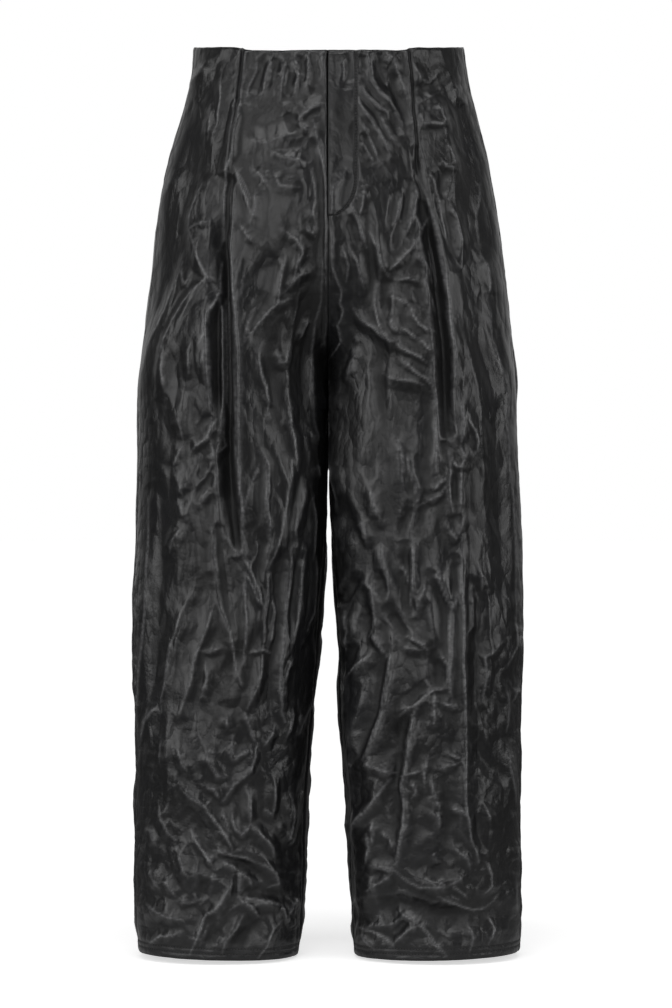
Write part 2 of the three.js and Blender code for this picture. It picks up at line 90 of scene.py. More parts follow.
def read(table, name, drop):
    """A smooth curve through one column of a table, read at any drop."""
    at, values = np.array(table["drop"], float), np.array(table[name], float)
    slope = np.empty_like(values)
    slope[1:-1] = (values[2:] - values[:-2]) / (at[2:] - at[:-2])
    slope[0], slope[-1] = (values[1] - values[0]) / (at[1] - at[0]), (values[-1] - values[-2]) / (at[-1] - at[-2])
    d = np.clip(drop, at[0], at[-1])
    i = np.clip(np.searchsorted(at, d, side="right") - 1, 0, len(at) - 2)
    span = at[i + 1] - at[i]
    s = (d - at[i]) / span
    s2, s3 = s * s, s * s * s
    start, end = values[i] * (2 * s3 - 3 * s2 + 1), values[i + 1] * (3 * s2 - 2 * s3)
    return start + slope[i] * span * (s3 - 2 * s2 + s) + end + slope[i + 1] * span * (s3 - s2)


# %% [markdown]
# ## From levels to lines
# At each level the outline of one leg is a slightly squared ellipse. Above the crotch a valley between the thighs
# rises until it is the middle of the trunk. Each panel takes its stretch of that outline, from the side seam to the
# centre or inside-leg seam, and its points are spread by length, so the grid is as even as a woven cloth.
# %% Lines of one panel
LINE_POINTS, SEAM_POINTS, HALVINGS = 420, 40, 30


def boxed(place, squareness):
    """Height of a slightly squared circle over a place from -1 to 1."""
    return (1 - np.minimum(1, np.abs(place)) ** squareness) ** (1 / squareness)


def outline(face, side, drop, share):
    """Half of the outline at a drop: distance from the centre, and depth. share is 0 at the side and 1 inside."""
    half = read(SECTIONS, "half", drop)
    inner = np.maximum(SEAM_GAP / 2, read(SECTIONS, "gap_" + side, drop))
    x = mix(half, inner, (1 - np.cos(np.pi * share)) / 2)
    thigh = boxed((2 * x - half - inner) / (half - inner), LEG_BOX)
    above = np.maximum(0, CROTCH_DROP - drop)
    rise = np.minimum(1, above / RISE_CURVE)
    valley = np.sqrt(1 - (1 - rise) ** 2) * boxed(x / half, TRUNK_BOX)
    height = ((thigh * (1 - smooth(above / THIGH_FADE))) ** 4 + valley**4) ** 0.25
    return x, read(SECTIONS, face, drop) * height


def share_at_depth(side, drop, wanted, start, end):
    """The share at which the front outline is the wanted depth in front of the middle."""
    low, high = np.full_like(drop, start), np.full_like(drop, end)
    for _ in range(HALVINGS):
        middle = (low + high) / 2
        under = outline("front", side, drop, middle)[1] < wanted
        low, high = np.where(under, middle, low), np.where(under, high, middle)
    return (low + high) / 2


def panel_lines(face, side, drops):
    """For each drop, points along the panel's line (x, y) and the length so far."""
    drop = drops[:, None]
    inner_forward = SEAM_FORWARD * smooth((drop - CROTCH_DROP) / INNER_SEAM_FADE)
    side_cut = share_at_depth(side, drop, SEAM_FORWARD, 0.0, 0.5)
    inner_cut = share_at_depth(side, drop, inner_forward, 1.0, 0.5)
    inner_cut = np.where(inner_forward > 0, inner_cut, 1.0)
    steps = np.linspace(0, 1, LINE_POINTS)
    if face == "front":
        x, away = outline("front", side, drop, mix(side_cut, inner_cut, steps))
        y = -away
    else:
        short = np.linspace(0, 1, SEAM_POINTS)
        first = outline("front", side, drop, mix(side_cut, 0, short[:-1]))
        main = outline("back", side, drop, np.broadcast_to(steps, (len(drops), LINE_POINTS)))
        last = outline("front", side, drop, mix(1.0, inner_cut, short[1:]))
        trunk = drop <= CROTCH_DROP
        last_x = np.where(trunk, main[0][:, -1:], last[0])
        last_y = np.where(trunk, main[1][:, -1:], -last[1])
        x = np.concatenate([first[0], main[0], last_x], axis=1)
        y = np.concatenate([-first[1], main[1], last_y], axis=1)
    length = np.cumsum(np.hypot(np.diff(x, axis=1), np.diff(y, axis=1)) + 1e-9, axis=1)
    return x, y, np.concatenate([np.zeros((len(drops), 1)), length], axis=1)


# %% [markdown]
# ## The grid
# Front columns follow the tuck and its pleat all the way down, so that a sharp edge never runs across the grid's
# squares. Just over the crotch the line is suddenly shorter, and only the columns next to the centre give way.
# %% Plain grid of one panel
ROWS, COLUMNS = 557, 165
TUCK_COLUMN = 94
STEEPEST = 8


def plain_grid(face, side):
    """Points (rows x columns x 3) in millimetres for a leg on the +X side, with the length across and the drop."""
    drops, shares = np.linspace(0, LENGTH, ROWS), np.linspace(0, 1, COLUMNS)
    and_crotch = np.append(drops, CROTCH_DROP)
    x, y, length = panel_lines(face, side, and_crotch)
    fixed_share, fixed = 0.0, np.zeros(ROWS + 1)
    if face == "front":
        fixed_share, place = TUCK_COLUMN / (COLUMNS - 1), read(TUCKS, side, and_crotch)
        fixed = np.array([np.interp(-place[i], -x[i], length[i]) for i in range(ROWS + 1)])
    rest = length[:, -1] - fixed
    shorter = np.maximum(0.01, rest[-1] - rest[:-1])
    steep = np.minimum(STEEPEST, 0.75 * rest[-1] / shorter)
    power = mix(np.maximum(1, steep), 1, smooth((CROTCH_DROP - drops) / CROTCH_EASE))
    grid, across = np.empty((ROWS, COLUMNS, 3)), np.empty((ROWS, COLUMNS))
    part = np.clip((shares - fixed_share) / (1 - fixed_share), 0, 1)
    for i, drop in enumerate(drops):
        if drop < CROTCH_DROP:
            beyond = rest[-1] * part - shorter[i] * part ** power[i]
        else:
            beyond = rest[i] * part
        along = fixed[i] + beyond
        if fixed_share:
            along = np.where(shares < fixed_share, fixed[i] * shares / fixed_share, along)
        grid[i, :, 0] = np.interp(along, length[i], x[i])
        grid[i, :, 1] = np.interp(along, length[i], y[i])
        across[i] = along
    drop = drops[:, None]
    half, inner = read(SECTIONS, "half", drop), read(SECTIONS, "gap_" + side, drop)
    gx, gy = grid[:, :, 0], grid[:, :, 1]
    forward = np.clip(-gy / SECTIONS["front"][0], 0, 1)
    dip = FRONT_DIP * forward - SIDE_RISE * (1 - forward)
    if face == "front":
        dip = dip + TUCK_DIP * smooth((TUCKS[side][0] - gx) / TUCK_DIP_WIDTH + 0.5)
    dip = dip * (1 - smooth(drop / DIP_FADE)) ** 2
    tilt = HEM_TILT * (1 - 2 * (gx - inner) / (half - inner)) * smooth((drop - CROTCH_DROP) / (LENGTH - CROTCH_DROP))
    grid[:, :, 2] = HOLD_DROP - drop - dip - tilt
    return grid, across, np.broadcast_to(drop, across.shape)


def outward(grid, face):
    """Unit normals of a grid, away from the hollow inside."""
    normal = np.cross(np.gradient(grid, axis=1), np.gradient(grid, axis=0))
    normal /= np.linalg.norm(normal, axis=2, keepdims=True)
    return normal if face == "front" else -normal


# %% [markdown]
# ## Camera
# The photograph looks straight at the front from the middle of the garment's height. The camera stands 3.65 m away,
# so the rounded hems dip in the picture as much as they do in the photograph. The frame is 672 x 1008 and 1.12 mm to
# a pixel where the side seams are.
# %% Camera
FRAME_HIGH, PIXEL = 1008, 1.12
CAMERA_AWAY, CAMERA_ASIDE, CAMERA_LOW = 3650, 8.4, -484
SENSOR_HIGH = 24
camera = bpy.data.objects.new("Camera", bpy.data.cameras.new("Camera"))
bpy.context.scene.collection.objects.link(camera)
camera.location = (CAMERA_ASIDE * MM, -CAMERA_AWAY * MM, CAMERA_LOW * MM)
camera.rotation_euler = (math.radians(90), 0, 0)
camera.data.sensor_fit = "VERTICAL"
camera.data.sensor_height = SENSOR_HIGH
camera.data.lens = SENSOR_HIGH * CAMERA_AWAY / (FRAME_HIGH * PIXEL)
camera.data.clip_end = 100
bpy.context.scene.camera = camera
print("lens", round(camera.data.lens, 2), "mm")

# %% [markdown]
# ## Soft noise
# Three kinds of unevenness are enough for leather. Waves in space bend the whole garment a little, the same on both
# sides of a seam, so that the seams stay closed. Noise over the cloth varies what one panel does on its own. Facets
# are flat triangles between points of uneven height: a crumpled sheet breaks up into flats that meet in sharp
# lines, and rounded noise alone would look like dough. All are seeded, so each run is the same.
# %% Waves and noise
NOISE_CELLS = 64


def waves(points, seed, count, shortest, longest):
    """A smooth sum of waves in space, about -1 to 1. Waves are twice as long up and down as across."""
    rng = np.random.default_rng(seed)
    total = np.zeros(points.shape[:-1])
    for _ in range(count):
        way = rng.normal(size=3) * (1, 1, 0.5)
        way /= np.linalg.norm(way)
        total += np.sin(points @ way * 2 * np.pi / rng.uniform(shortest, longest) + rng.uniform(0, 2 * np.pi))
    return total / math.sqrt(count / 2) / 1.6


def noise(u, v, seed):
    """Smooth noise from 0 to 1 with one bump for each unit of u and v."""
    table = np.random.default_rng(seed).random((NOISE_CELLS, NOISE_CELLS))
    iu, iv = np.floor(u).astype(int), np.floor(v).astype(int)
    su, sv = smooth(u - iu), smooth(v - iv)
    at = lambda a, b: table[(iu + a) % NOISE_CELLS, (iv + b) % NOISE_CELLS]
    return mix(mix(at(0, 0), at(1, 0), su), mix(at(0, 1), at(1, 1), su), sv)


def cloudy(u, v, seed):
    """Three sizes of noise on top of one another, from 0 to 1."""
    finest = 0.12 * noise(4.3 * u, 4.3 * v, seed + 2)
    return 0.6 * noise(u, v, seed) + 0.28 * noise(2.1 * u, 2.1 * v, seed + 1) + finest


def facets(u, v, seed, wild=0.85):
    """A crumpled sheet: flat triangles between points about one unit apart, each at its own height from 0 to 1."""
    rng = np.random.default_rng(seed)
    cu, cv = np.meshgrid(np.arange(u.min() - 2, u.max() + 3), np.arange(v.min() - 2, v.max() + 3))
    cu, cv = cu + wild * (rng.random(cu.shape) - 0.5), cv + wild * (rng.random(cu.shape) - 0.5)
    corners, heights = np.stack([cu.ravel(), cv.ravel()], -1), rng.random(cu.size)
    triangles = delaunay_2d_cdt([tuple(c) for c in corners], [], [], 0, 1e-5)[2]
    low_v, high_v, found = v.min(axis=1), v.max(axis=1), np.zeros(u.shape)
    for triangle in triangles:
        a, b, c = corners[list(triangle)]
        rows = np.flatnonzero((high_v > min(a[1], b[1], c[1])) & (low_v < max(a[1], b[1], c[1])))
        if len(rows):
            part = slice(rows[0], rows[-1] + 1)
            to_u, to_v = u[part] - a[0], v[part] - a[1]
            whole = (b[0] - a[0]) * (c[1] - a[1]) - (c[0] - a[0]) * (b[1] - a[1])
            to_b = (to_u * (c[1] - a[1]) - to_v * (c[0] - a[0])) / whole
            to_c = (to_v * (b[0] - a[0]) - to_u * (b[1] - a[1])) / whole
            inside = (to_b >= 0) & (to_c >= 0) & (to_b + to_c <= 1)
            ha, hb, hc = heights[list(triangle)]
            found[part][inside] = (ha + (hb - ha) * to_b + (hc - ha) * to_c)[inside]
    return found


# %% [markdown]
# ## Creases placed one by one
# The large creases are what a viewer recognises, so each one has a row: its height (a trough is under 0), the width
# of its flank on each side, and its path as the camera sees it, as distance from the centre line and drop from the
# top edge at the side. The first width is that of the left flank where a path goes down. A narrow flank beside a wide
# one makes the edge of a fold. The wearer's right leg is on the minus side. The paths were read off the photograph.
# Heights and widths can't be read there and are guesses.
# %% Crease tables
BROAD_FORMS = [
    # where the left leg turns in, and the edge of its flat shin
    (6, 8, 30, (10, 395), (13, 480), (18, 600), (27, 720), (35, 840), (41, 950)),
    (4.5, 42, 10, (147, 610), (149, 720), (149, 820), (151, 900)),
]
FRONT_CREASES = [
    # top, viewer left
    (1.9, 5.2, 6.5, (-81, 11), (-81, 26), (-88, 43), (-94, 62)),
    (-2.4, 5.2, 6.5, (-71, 8), (-78, 30), (-88, 55)),
    (1.9, 5.2, 5.2, (-66, 12), (-70, 30), (-73, 50)),
    (-1.7, 3.9, 5.2, (-60, 10), (-59, 28)),
    (1.6, 5.2, 5.2, (-53, 15), (-51, 32), (-54, 50)),
    (-1.9, 3.9, 3.9, (-40, 26), (-42, 41), (-46, 57)),
    (1.8, 5.2, 5.2, (-36, 11), (-34, 31), (-38, 50)),
    (-2, 3.9, 3.9, (-29, 8), (-30, 32)),
    (1.8, 3.9, 5.2, (-23, 10), (-22, 32), (-26, 50)),
    (-1.9, 3.9, 3.9, (-18, 12), (-16, 30), (-13, 48)),
    (2, 3.9, 3.9, (-8, 9), (-5, 24), (-3, 39)),
    (2.2, 3.9, 7.8, (-36, 84), (-29, 76), (-18, 68), (-6, 65)),
    (1.6, 3.9, 5.2, (-36, 84), (-27, 91), (-20, 93)),
    (-1.9, 3.9, 3.9, (-41, 71), (-42, 83), (-35, 96)),
    (2.4, 5.2, 5.2, (-17, 82), (-13, 100), (-10, 115), (-5, 132), (-2, 147)),
    (-3.2, 6.5, 6.5, (-29, 110), (-20, 123), (-12, 138), (-3, 153)),
    (2.1, 9.1, 9.1, (-88, 104), (-70, 108), (-54, 101), (-42, 97)),
    (1.8, 6.5, 7.8, (-68, 115), (-49, 123), (-32, 127), (-20, 130)),
    (2.1, 5.2, 6.5, (-83, 137), (-74, 144), (-68, 156)),
    (1.9, 6.5, 7.8, (-61, 140), (-54, 155), (-32, 157)),
    (2.2, 6.5, 9.1, (-132, 64), (-133, 82), (-135, 102)),
    (-1.8, 5.2, 6.5, (-141, 59), (-145, 93), (-148, 124)),
    (2.9, 5.2, 7.8, (-137, 15), (-141, 27), (-152, 37), (-157, 50)),
    (2.4, 5.2, 6.5, (-119, 26), (-120, 59), (-126, 91)),
    # tuck mouth left
    (4.2, 6.5, 3.9, (-101, 68), (-104, 93), (-107, 118), (-113, 138), (-116, 160), (-118, 187), (-120, 216)),
    (2.7, 3.9, 7.8, (-106, 132), (-99, 149), (-91, 169), (-86, 187)),
    (2.2, 3.9, 5.2, (-101, 140), (-92, 156), (-86, 171)),
    (3, 3.9, 9.1, (-108, 149), (-110, 171), (-110, 196)),
    (2.1, 3.9, 5.2, (-98, 199), (-91, 209), (-83, 220)),
    (2.2, 5.2, 6.5, (-81, 160), (-81, 178), (-85, 196)),
    # thigh, viewer left
    (5.4, 3.4, 15.6, (-113, 211), (-110, 231), (-108, 250), (-106, 283), (-105, 317), (-105, 353), (-104, 395),
        (-104, 451), (-101, 487), (-97, 513), (-96, 541), (-94, 568)),
    (-12.4, 7.8, 3.9, (-112, 153), (-115, 188), (-118, 222), (-116, 261), (-113, 295), (-111, 339), (-110, 395),
        (-110, 463), (-107, 524), (-104, 558)),
    (-10.6, 5.2, 5.2, (-124, 267), (-125, 317), (-125, 362), (-124, 395), (-122, 423)),
    (2.4, 5.2, 3.9, (-117, 283), (-114, 334), (-114, 373), (-114, 398), (-110, 411)),
    (4.5, 10.4, 3.9, (-122, 241), (-123, 259), (-122, 274), (-128, 286), (-133, 297), (-137, 315), (-135, 330),
        (-134, 364), (-132, 401)),
    (2.9, 6.5, 6.5, (-157, 204), (-150, 217), (-144, 236), (-137, 251), (-132, 262), (-123, 273)),
    (2.1, 3.9, 6.5, (-158, 205), (-147, 199), (-136, 196)),
    (2.4, 6.5, 6.5, (-165, 246), (-162, 262), (-156, 269)),
    (3.2, 6.5, 5.2, (-134, 258), (-148, 272), (-162, 288), (-172, 305), (-182, 328), (-189, 353)),
    (-3, 5.2, 5.2, (-148, 263), (-164, 283), (-176, 302), (-186, 326)),
    (2.7, 5.2, 6.5, (-144, 334), (-138, 323), (-135, 317)),
    (3, 7.8, 7.8, (-141, 152), (-148, 169), (-155, 187), (-158, 204)),
    (-4.2, 11.7, 11.7, (-153, 82), (-157, 132), (-163, 177), (-170, 222), (-180, 267), (-191, 311)),
    (3.5, 6.5, 6.5, (-164, 241), (-175, 272), (-185, 297), (-198, 326), (-204, 356), (-211, 382)),
    (2.5, 5.2, 5.2, (-174, 138), (-178, 153), (-186, 169), (-191, 194)),
    (-3, 6.5, 7.8, (-164, 334), (-174, 356), (-179, 386), (-183, 409)),
    (2.7, 7.8, 7.8, (-182, 334), (-185, 360), (-183, 386)),
    (2.4, 3.9, 3.9, (-142, 357), (-138, 342), (-134, 333)),
    (2.2, 3.9, 5.2, (-155, 364), (-156, 342), (-152, 330)),
    (2.9, 3.9, 6.5, (-153, 451), (-144, 444), (-135, 438), (-132, 427), (-127, 418)),
    (-2.1, 5.2, 3.9, (-145, 432), (-136, 421), (-128, 412), (-120, 407)),
    (-2.6, 3.9, 3.9, (-125, 417), (-123, 432), (-128, 447)),
    (2, 6.5, 7.8, (-170, 411), (-165, 426), (-162, 442)),
    (2, 9.1, 5.2, (-162, 445), (-170, 459), (-174, 472)),
    (2.1, 5.2, 9.1, (-174, 472), (-167, 488), (-163, 503)),
    (1.8, 5.2, 6.5, (-164, 507), (-165, 519), (-161, 528)),
    (-1.8, 3.9, 3.9, (-154, 495), (-161, 506), (-164, 517)),
    (1.9, 3.9, 5.2, (-132, 438), (-129, 454), (-130, 466)),
    (-2, 3.9, 3.9, (-136, 459), (-139, 474), (-144, 485)),
    (-2.2, 3.9, 3.9, (-130, 475), (-137, 489), (-144, 503)),
    (2, 3.9, 5.2, (-134, 494), (-138, 502), (-143, 511)),
    (1.7, 3.9, 5.2, (-124, 474), (-127, 493), (-125, 507)),
    (1.8, 5.2, 5.2, (-117, 409), (-118, 438), (-115, 447), (-125, 455)),
    (2.4, 3.9, 3.9, (-92, 243), (-95, 261), (-98, 281)),
    (2.7, 5.2, 5.2, (-79, 289), (-87, 297), (-91, 311), (-95, 329)),
    (2.7, 5.2, 6.5, (-96, 333), (-89, 323), (-74, 304), (-64, 293), (-57, 287), (-42, 281)),
    (2.1, 5.2, 5.2, (-91, 312), (-89, 323)),
    (2.7, 3.9, 6.5, (-49, 235), (-52, 250), (-55, 268), (-57, 287)),
    (2.7, 5.2, 6.5, (-49, 273), (-40, 263), (-32, 255), (-20, 252)),
    (2.9, 5.2, 5.2, (-49, 205), (-35, 216), (-29, 227), (-29, 233), (-35, 243), (-40, 262)),
    (3, 7.8, 5.2, (-20, 138), (-16, 156), (-15, 171), (-18, 187), (-25, 196)),
    (2.4, 5.2, 5.2, (-25, 196), (-23, 206), (-18, 208), (-15, 198)),
    (-2.4, 5.2, 5.2, (-74, 283), (-66, 290), (-68, 301)),
    (-7.1, 10.4, 7.8, (-12, 160), (-10, 199), (-10, 239), (-12, 278), (-18, 317), (-23, 362), (-22, 418)),
    (1.9, 3.9, 3.9, (-3, 187), (-4, 233), (-7, 248), (-8, 288), (-14, 311), (-16, 339), (-16, 395), (-13, 440)),
    (2.7, 3.9, 5.2, (-20, 305), (-26, 319), (-31, 328)),
    (2.9, 5.2, 6.5, (-81, 337), (-79, 353), (-74, 368), (-69, 380), (-66, 412)),
    (-3.2, 7.8, 7.8, (-63, 342), (-63, 373), (-60, 401), (-53, 431), (-49, 454)),
    (2.7, 5.2, 5.2, (-58, 339), (-54, 353), (-49, 352), (-46, 339)),
    (2.5, 5.2, 6.5, (-41, 404), (-44, 422), (-39, 440), (-36, 474)),
    (3.3, 10.4, 6.5, (-42, 463), (-43, 480), (-48, 498), (-51, 519), (-55, 545), (-62, 570), (-69, 585)),
    (2.5, 5.2, 5.2, (-27, 485), (-30, 507), (-35, 524), (-40, 541), (-38, 558)),
    (2.1, 3.9, 3.9, (-14, 468), (-11, 483)),
    (2.2, 3.9, 5.2, (-20, 505), (-17, 532), (-20, 575)),
    (2.9, 6.5, 3.9, (-80, 451), (-73, 458), (-69, 467), (-69, 491), (-71, 507), (-67, 535), (-67, 558)),
    (3, 5.2, 5.2, (-78, 467), (-82, 476), (-88, 491), (-92, 505), (-96, 519)),
    (-2.7, 5.2, 6.5, (-91, 530), (-88, 558), (-82, 575)),
    (1.6, 5.2, 5.2, (-124, 507), (-126, 530), (-134, 552)),
    (2.4, 6.5, 6.5, (-166, 541), (-175, 552), (-179, 566)),
    # lower thigh, viewer left
    (-3.4, 3.4, 3.4, (-124, 539), (-123, 575), (-120, 597), (-116, 622), (-111, 644), (-109, 660)),
    (2.4, 5.2, 3.9, (-128, 541), (-127, 575), (-125, 599)),
    (2.5, 3.9, 5.2, (-115, 543), (-110, 558), (-101, 570)),
    (3, 5.2, 5.2, (-94, 568), (-87, 588), (-81, 606), (-73, 624)),
    (2.9, 5.2, 6.5, (-94, 586), (-86, 603), (-79, 619), (-71, 629)),
    (2.5, 3.9, 5.2, (-94, 586), (-93, 619), (-92, 644), (-94, 670), (-96, 691)),
    (-3.2, 3.9, 3.9, (-81, 544), (-74, 558), (-78, 575), (-80, 595)),
    (3, 5.2, 5.2, (-68, 586), (-67, 619), (-72, 642), (-73, 666)),
    (-3.2, 5.2, 6.5, (-64, 591), (-64, 625), (-69, 659)),
    (2.9, 5.2, 5.2, (-62, 615), (-59, 633), (-62, 657), (-67, 672)),
    (3.8, 5.2, 5.2, (-43, 570), (-43, 599), (-48, 622), (-49, 646), (-51, 671), (-54, 693), (-55, 716),
        (-53, 736), (-54, 745), (-50, 756)),
    (-5, 7.8, 6.5, (-53, 575), (-54, 619), (-58, 664), (-62, 698), (-62, 731), (-60, 758)),
    (2.5, 5.2, 5.2, (-29, 563), (-32, 597), (-33, 626), (-35, 644), (-40, 664), (-44, 678)),
    (-3.3, 6.5, 6.5, (-36, 575), (-40, 619), (-44, 653)),
    (2.4, 3.9, 3.9, (-17, 570), (-17, 608), (-18, 631), (-24, 653)),
    (2.5, 3.9, 3.9, (-17, 653), (-16, 687), (-17, 720), (-21, 738), (-29, 756), (-34, 768)),
    (2.9, 3.9, 5.2, (-41, 685), (-48, 698), (-50, 712)),
    (2.9, 3.9, 5.2, (-41, 741), (-43, 756), (-48, 772)),
    (2.9, 5.2, 5.2, (-74, 681), (-76, 698), (-81, 716), (-88, 731), (-92, 741)),
    (2.9, 5.2, 6.5, (-122, 622), (-115, 640), (-110, 655), (-107, 673), (-104, 696), (-98, 713)),
    (-2.5, 5.2, 5.2, (-101, 675), (-106, 689), (-113, 704)),
    (3.2, 10.4, 6.5, (-129, 624), (-135, 647), (-142, 665), (-147, 676), (-152, 692), (-155, 713), (-162, 734),
        (-166, 745)),
    (2.9, 7.8, 6.5, (-158, 619), (-166, 633), (-171, 655), (-178, 670), (-181, 691), (-183, 713), (-188, 729),
        (-186, 745)),
    (-4, 10.4, 10.4, (-191, 507), (-191, 575), (-191, 631), (-194, 675), (-198, 720)),
    (3.1, 6.5, 6.5, (-204, 507), (-203, 575), (-204, 631), (-207, 675), (-210, 711), (-211, 754), (-209, 799)),
    (2.1, 3.9, 3.9, (-88, 678), (-74, 675), (-62, 680)),
    (1.9, 3.9, 3.9, (-146, 676), (-133, 678), (-122, 673)),
    (2.5, 3.9, 5.2, (-138, 689), (-136, 707), (-141, 726)),
    (2.5, 5.2, 5.2, (-188, 746), (-194, 740), (-203, 756), (-208, 782)),
    (2.4, 3.9, 5.2, (-95, 745), (-91, 756), (-86, 771), (-81, 781)),
    (2.2, 5.2, 5.2, (-115, 749), (-113, 763)),
    (2.5, 5.2, 5.2, (-61, 763), (-68, 774), (-74, 783)),
    # shin, viewer left
    (3.3, 6.5, 6.5, (-137, 788), (-133, 804), (-125, 815), (-116, 818)),
    (2.1, 3.9, 5.2, (-136, 787), (-126, 791)),
    (2.7, 5.2, 5.2, (-167, 787), (-162, 801), (-157, 811)),
    (-2.9, 3.9, 3.9, (-191, 783), (-197, 809)),
    (2.5, 5.2, 5.2, (-186, 776), (-188, 801)),
    (2.7, 3.9, 5.2, (-108, 799), (-99, 793), (-87, 788)),
    (3.2, 7.8, 3.9, (-81, 781), (-83, 796), (-88, 810), (-97, 819), (-106, 827), (-113, 836), (-117, 844)),
    (2.1, 3.9, 3.9, (-108, 776), (-109, 799)),
    (3.3, 6.5, 6.5, (-165, 830), (-155, 840), (-144, 846), (-138, 851), (-130, 864), (-122, 874), (-115, 884),
        (-110, 894), (-108, 902)),
    (2.4, 3.9, 3.9, (-137, 830), (-128, 832), (-123, 841)),
    (2.2, 3.9, 3.9, (-139, 852), (-132, 843)),
    (2.5, 3.9, 5.2, (-119, 856), (-115, 869), (-111, 878)),
    (2.9, 3.9, 5.2, (-109, 862), (-104, 876), (-98, 881), (-91, 875), (-88, 870)),
    (3.2, 5.2, 5.2, (-90, 829), (-88, 844), (-88, 870)),
    (3.2, 5.2, 6.5, (-88, 870), (-80, 879), (-71, 888), (-64, 897), (-62, 907)),
    (3, 5.2, 3.9, (-62, 821), (-62, 843), (-63, 861)),
    (2.2, 5.2, 5.2, (-63, 861), (-72, 853)),
    (2.9, 5.2, 5.2, (-43, 843), (-42, 866), (-44, 886), (-50, 876)),
    (3.2, 7.8, 7.8, (-189, 848), (-186, 866), (-180, 880), (-171, 889)),
    (3, 6.5, 6.5, (-172, 892), (-166, 911), (-162, 922), (-156, 930)),
    (2.2, 5.2, 5.2, (-156, 930), (-144, 924), (-130, 931), (-118, 932)),
    (-4.1, 7.8, 5.2, (-156, 861), (-147, 876), (-142, 889), (-134, 900), (-125, 909)),
    (3.2, 3.9, 10.4, (-155, 879), (-145, 895), (-136, 907), (-128, 920)),
    (2.5, 5.2, 5.2, (-200, 872), (-197, 886), (-193, 895)),
    (3, 3.9, 7.8, (-129, 899), (-117, 902), (-106, 906), (-92, 908), (-81, 913)),
    (-3.7, 6.5, 6.5, (-119, 907), (-104, 911), (-88, 916), (-78, 924), (-72, 937)),
    (3, 5.2, 7.8, (-81, 913), (-70, 917), (-60, 925), (-55, 937), (-66, 942)),
    (3.2, 5.2, 3.9, (-118, 913), (-109, 917), (-101, 922)),
    (3, 3.9, 7.8, (-101, 922), (-101, 936), (-101, 951)),
    (-4.1, 3.9, 3.1, (-105, 925), (-104, 953)),
    (2.5, 5.2, 5.2, (-101, 922), (-91, 930), (-85, 941)),
    (3.9, 15.6, 5.2, (-107, 926), (-109, 939), (-115, 946), (-122, 959), (-128, 967), (-137, 971), (-141, 979),
        (-144, 990), (-150, 1004), (-156, 1017)),
    (-4.4, 11.7, 7.8, (-113, 937), (-128, 952), (-141, 967), (-151, 984), (-157, 1006)),
    (2.9, 5.2, 5.2, (-101, 952), (-90, 960), (-79, 973)),
    (3, 9.1, 6.5, (-101, 952), (-86, 953), (-70, 956), (-52, 961)),
    (-4, 6.5, 7.8, (-97, 946), (-79, 948), (-62, 946), (-46, 951)),
    (2.9, 5.2, 5.2, (-33, 953), (-41, 962), (-45, 973)),
    (2.4, 3.9, 3.9, (-51, 961), (-48, 976), (-42, 980)),
    (3.4, 10.4, 5.2, (-52, 977), (-63, 986), (-69, 997), (-72, 1008), (-79, 1020)),
    (-4.3, 9.1, 9.1, (-74, 976), (-87, 989), (-94, 1002), (-96, 1017)),
    (3.3, 7.8, 10.4, (-203, 959), (-192, 968), (-180, 974), (-166, 978)),
    (-2.7, 6.5, 6.5, (-194, 990), (-180, 987), (-166, 980)),
    (2.5, 3.9, 5.2, (-189, 935), (-182, 936), (-176, 945), (-172, 952)),
    (2.5, 5.2, 6.5, (-201, 920), (-195, 933), (-189, 943)),
    (-2.9, 5.2, 5.2, (-138, 1009), (-129, 997), (-118, 987)),
    (2.7, 5.2, 6.5, (-202, 1006), (-189, 996), (-175, 995)),
    (2.5, 5.2, 6.5, (-119, 1015), (-115, 1000), (-104, 987), (-97, 972)),
    (2.4, 5.2, 5.2, (-171, 958), (-155, 959), (-139, 953)),
    # top, viewer right
    (1.7, 3.9, 5.2, (15, 10), (17, 26), (16, 39)),
    (-1.9, 3.9, 3.9, (21, 12), (22, 26), (20, 41)),
    (-1.7, 3.9, 3.9, (39, 8), (39, 26)),
    (2.1, 3.9, 5.2, (43, 8), (48, 19), (50, 36), (58, 49), (68, 59), (76, 72)),
    (-2.5, 6.5, 6.5, (55, 10), (59, 28), (67, 44)),
    (2.1, 3.9, 3.9, (69, 6), (67, 19)),
    (2.2, 5.2, 5.2, (73, 9), (77, 26), (83, 41), (89, 56)),
    (-2.9, 5.2, 6.5, (67, 24), (76, 44), (83, 64), (92, 88)),
    (2.1, 3.9, 5.2, (34, 41), (44, 54), (54, 64), (67, 74)),
    (2.2, 5.2, 5.2, (35, 64), (46, 80), (55, 92), (63, 106), (70, 122)),
    (2.2, 3.9, 5.2, (35, 81), (43, 95), (50, 110), (57, 128)),
    (2.1, 3.9, 5.2, (38, 104), (43, 115), (50, 129)),
    (1.9, 3.9, 3.9, (58, 77), (67, 93), (74, 108)),
    (-2.1, 3.9, 3.9, (71, 68), (76, 80), (80, 91)),
    (-2.9, 7.8, 7.8, (39, 93), (48, 115), (58, 133)),
    (2.1, 3.9, 6.5, (99, 87), (114, 85), (134, 86)),
    (-2.4, 5.2, 6.5, (100, 52), (114, 43), (126, 37)),
    (1.9, 5.2, 5.2, (96, 21), (104, 37), (115, 39), (124, 28)),
    (2.1, 5.2, 5.2, (124, 64), (127, 77), (134, 86)),
    (2.4, 5.2, 5.2, (134, 108), (139, 121), (143, 133)),
    (2.2, 3.9, 5.2, (127, 125), (132, 133), (144, 136)),
    (-2.2, 3.9, 3.9, (132, 138), (128, 153), (125, 167)),
    (2.5, 5.2, 6.5, (142, 41), (147, 55), (158, 64)),
    (-4, 10.4, 10.4, (147, 59), (156, 104), (163, 149), (167, 205), (170, 261)),
    # tuck mouth right
    (3.1, 2.6, 10.4, (102, 142), (107, 156), (114, 176), (119, 193), (124, 216), (127, 233), (129, 250),
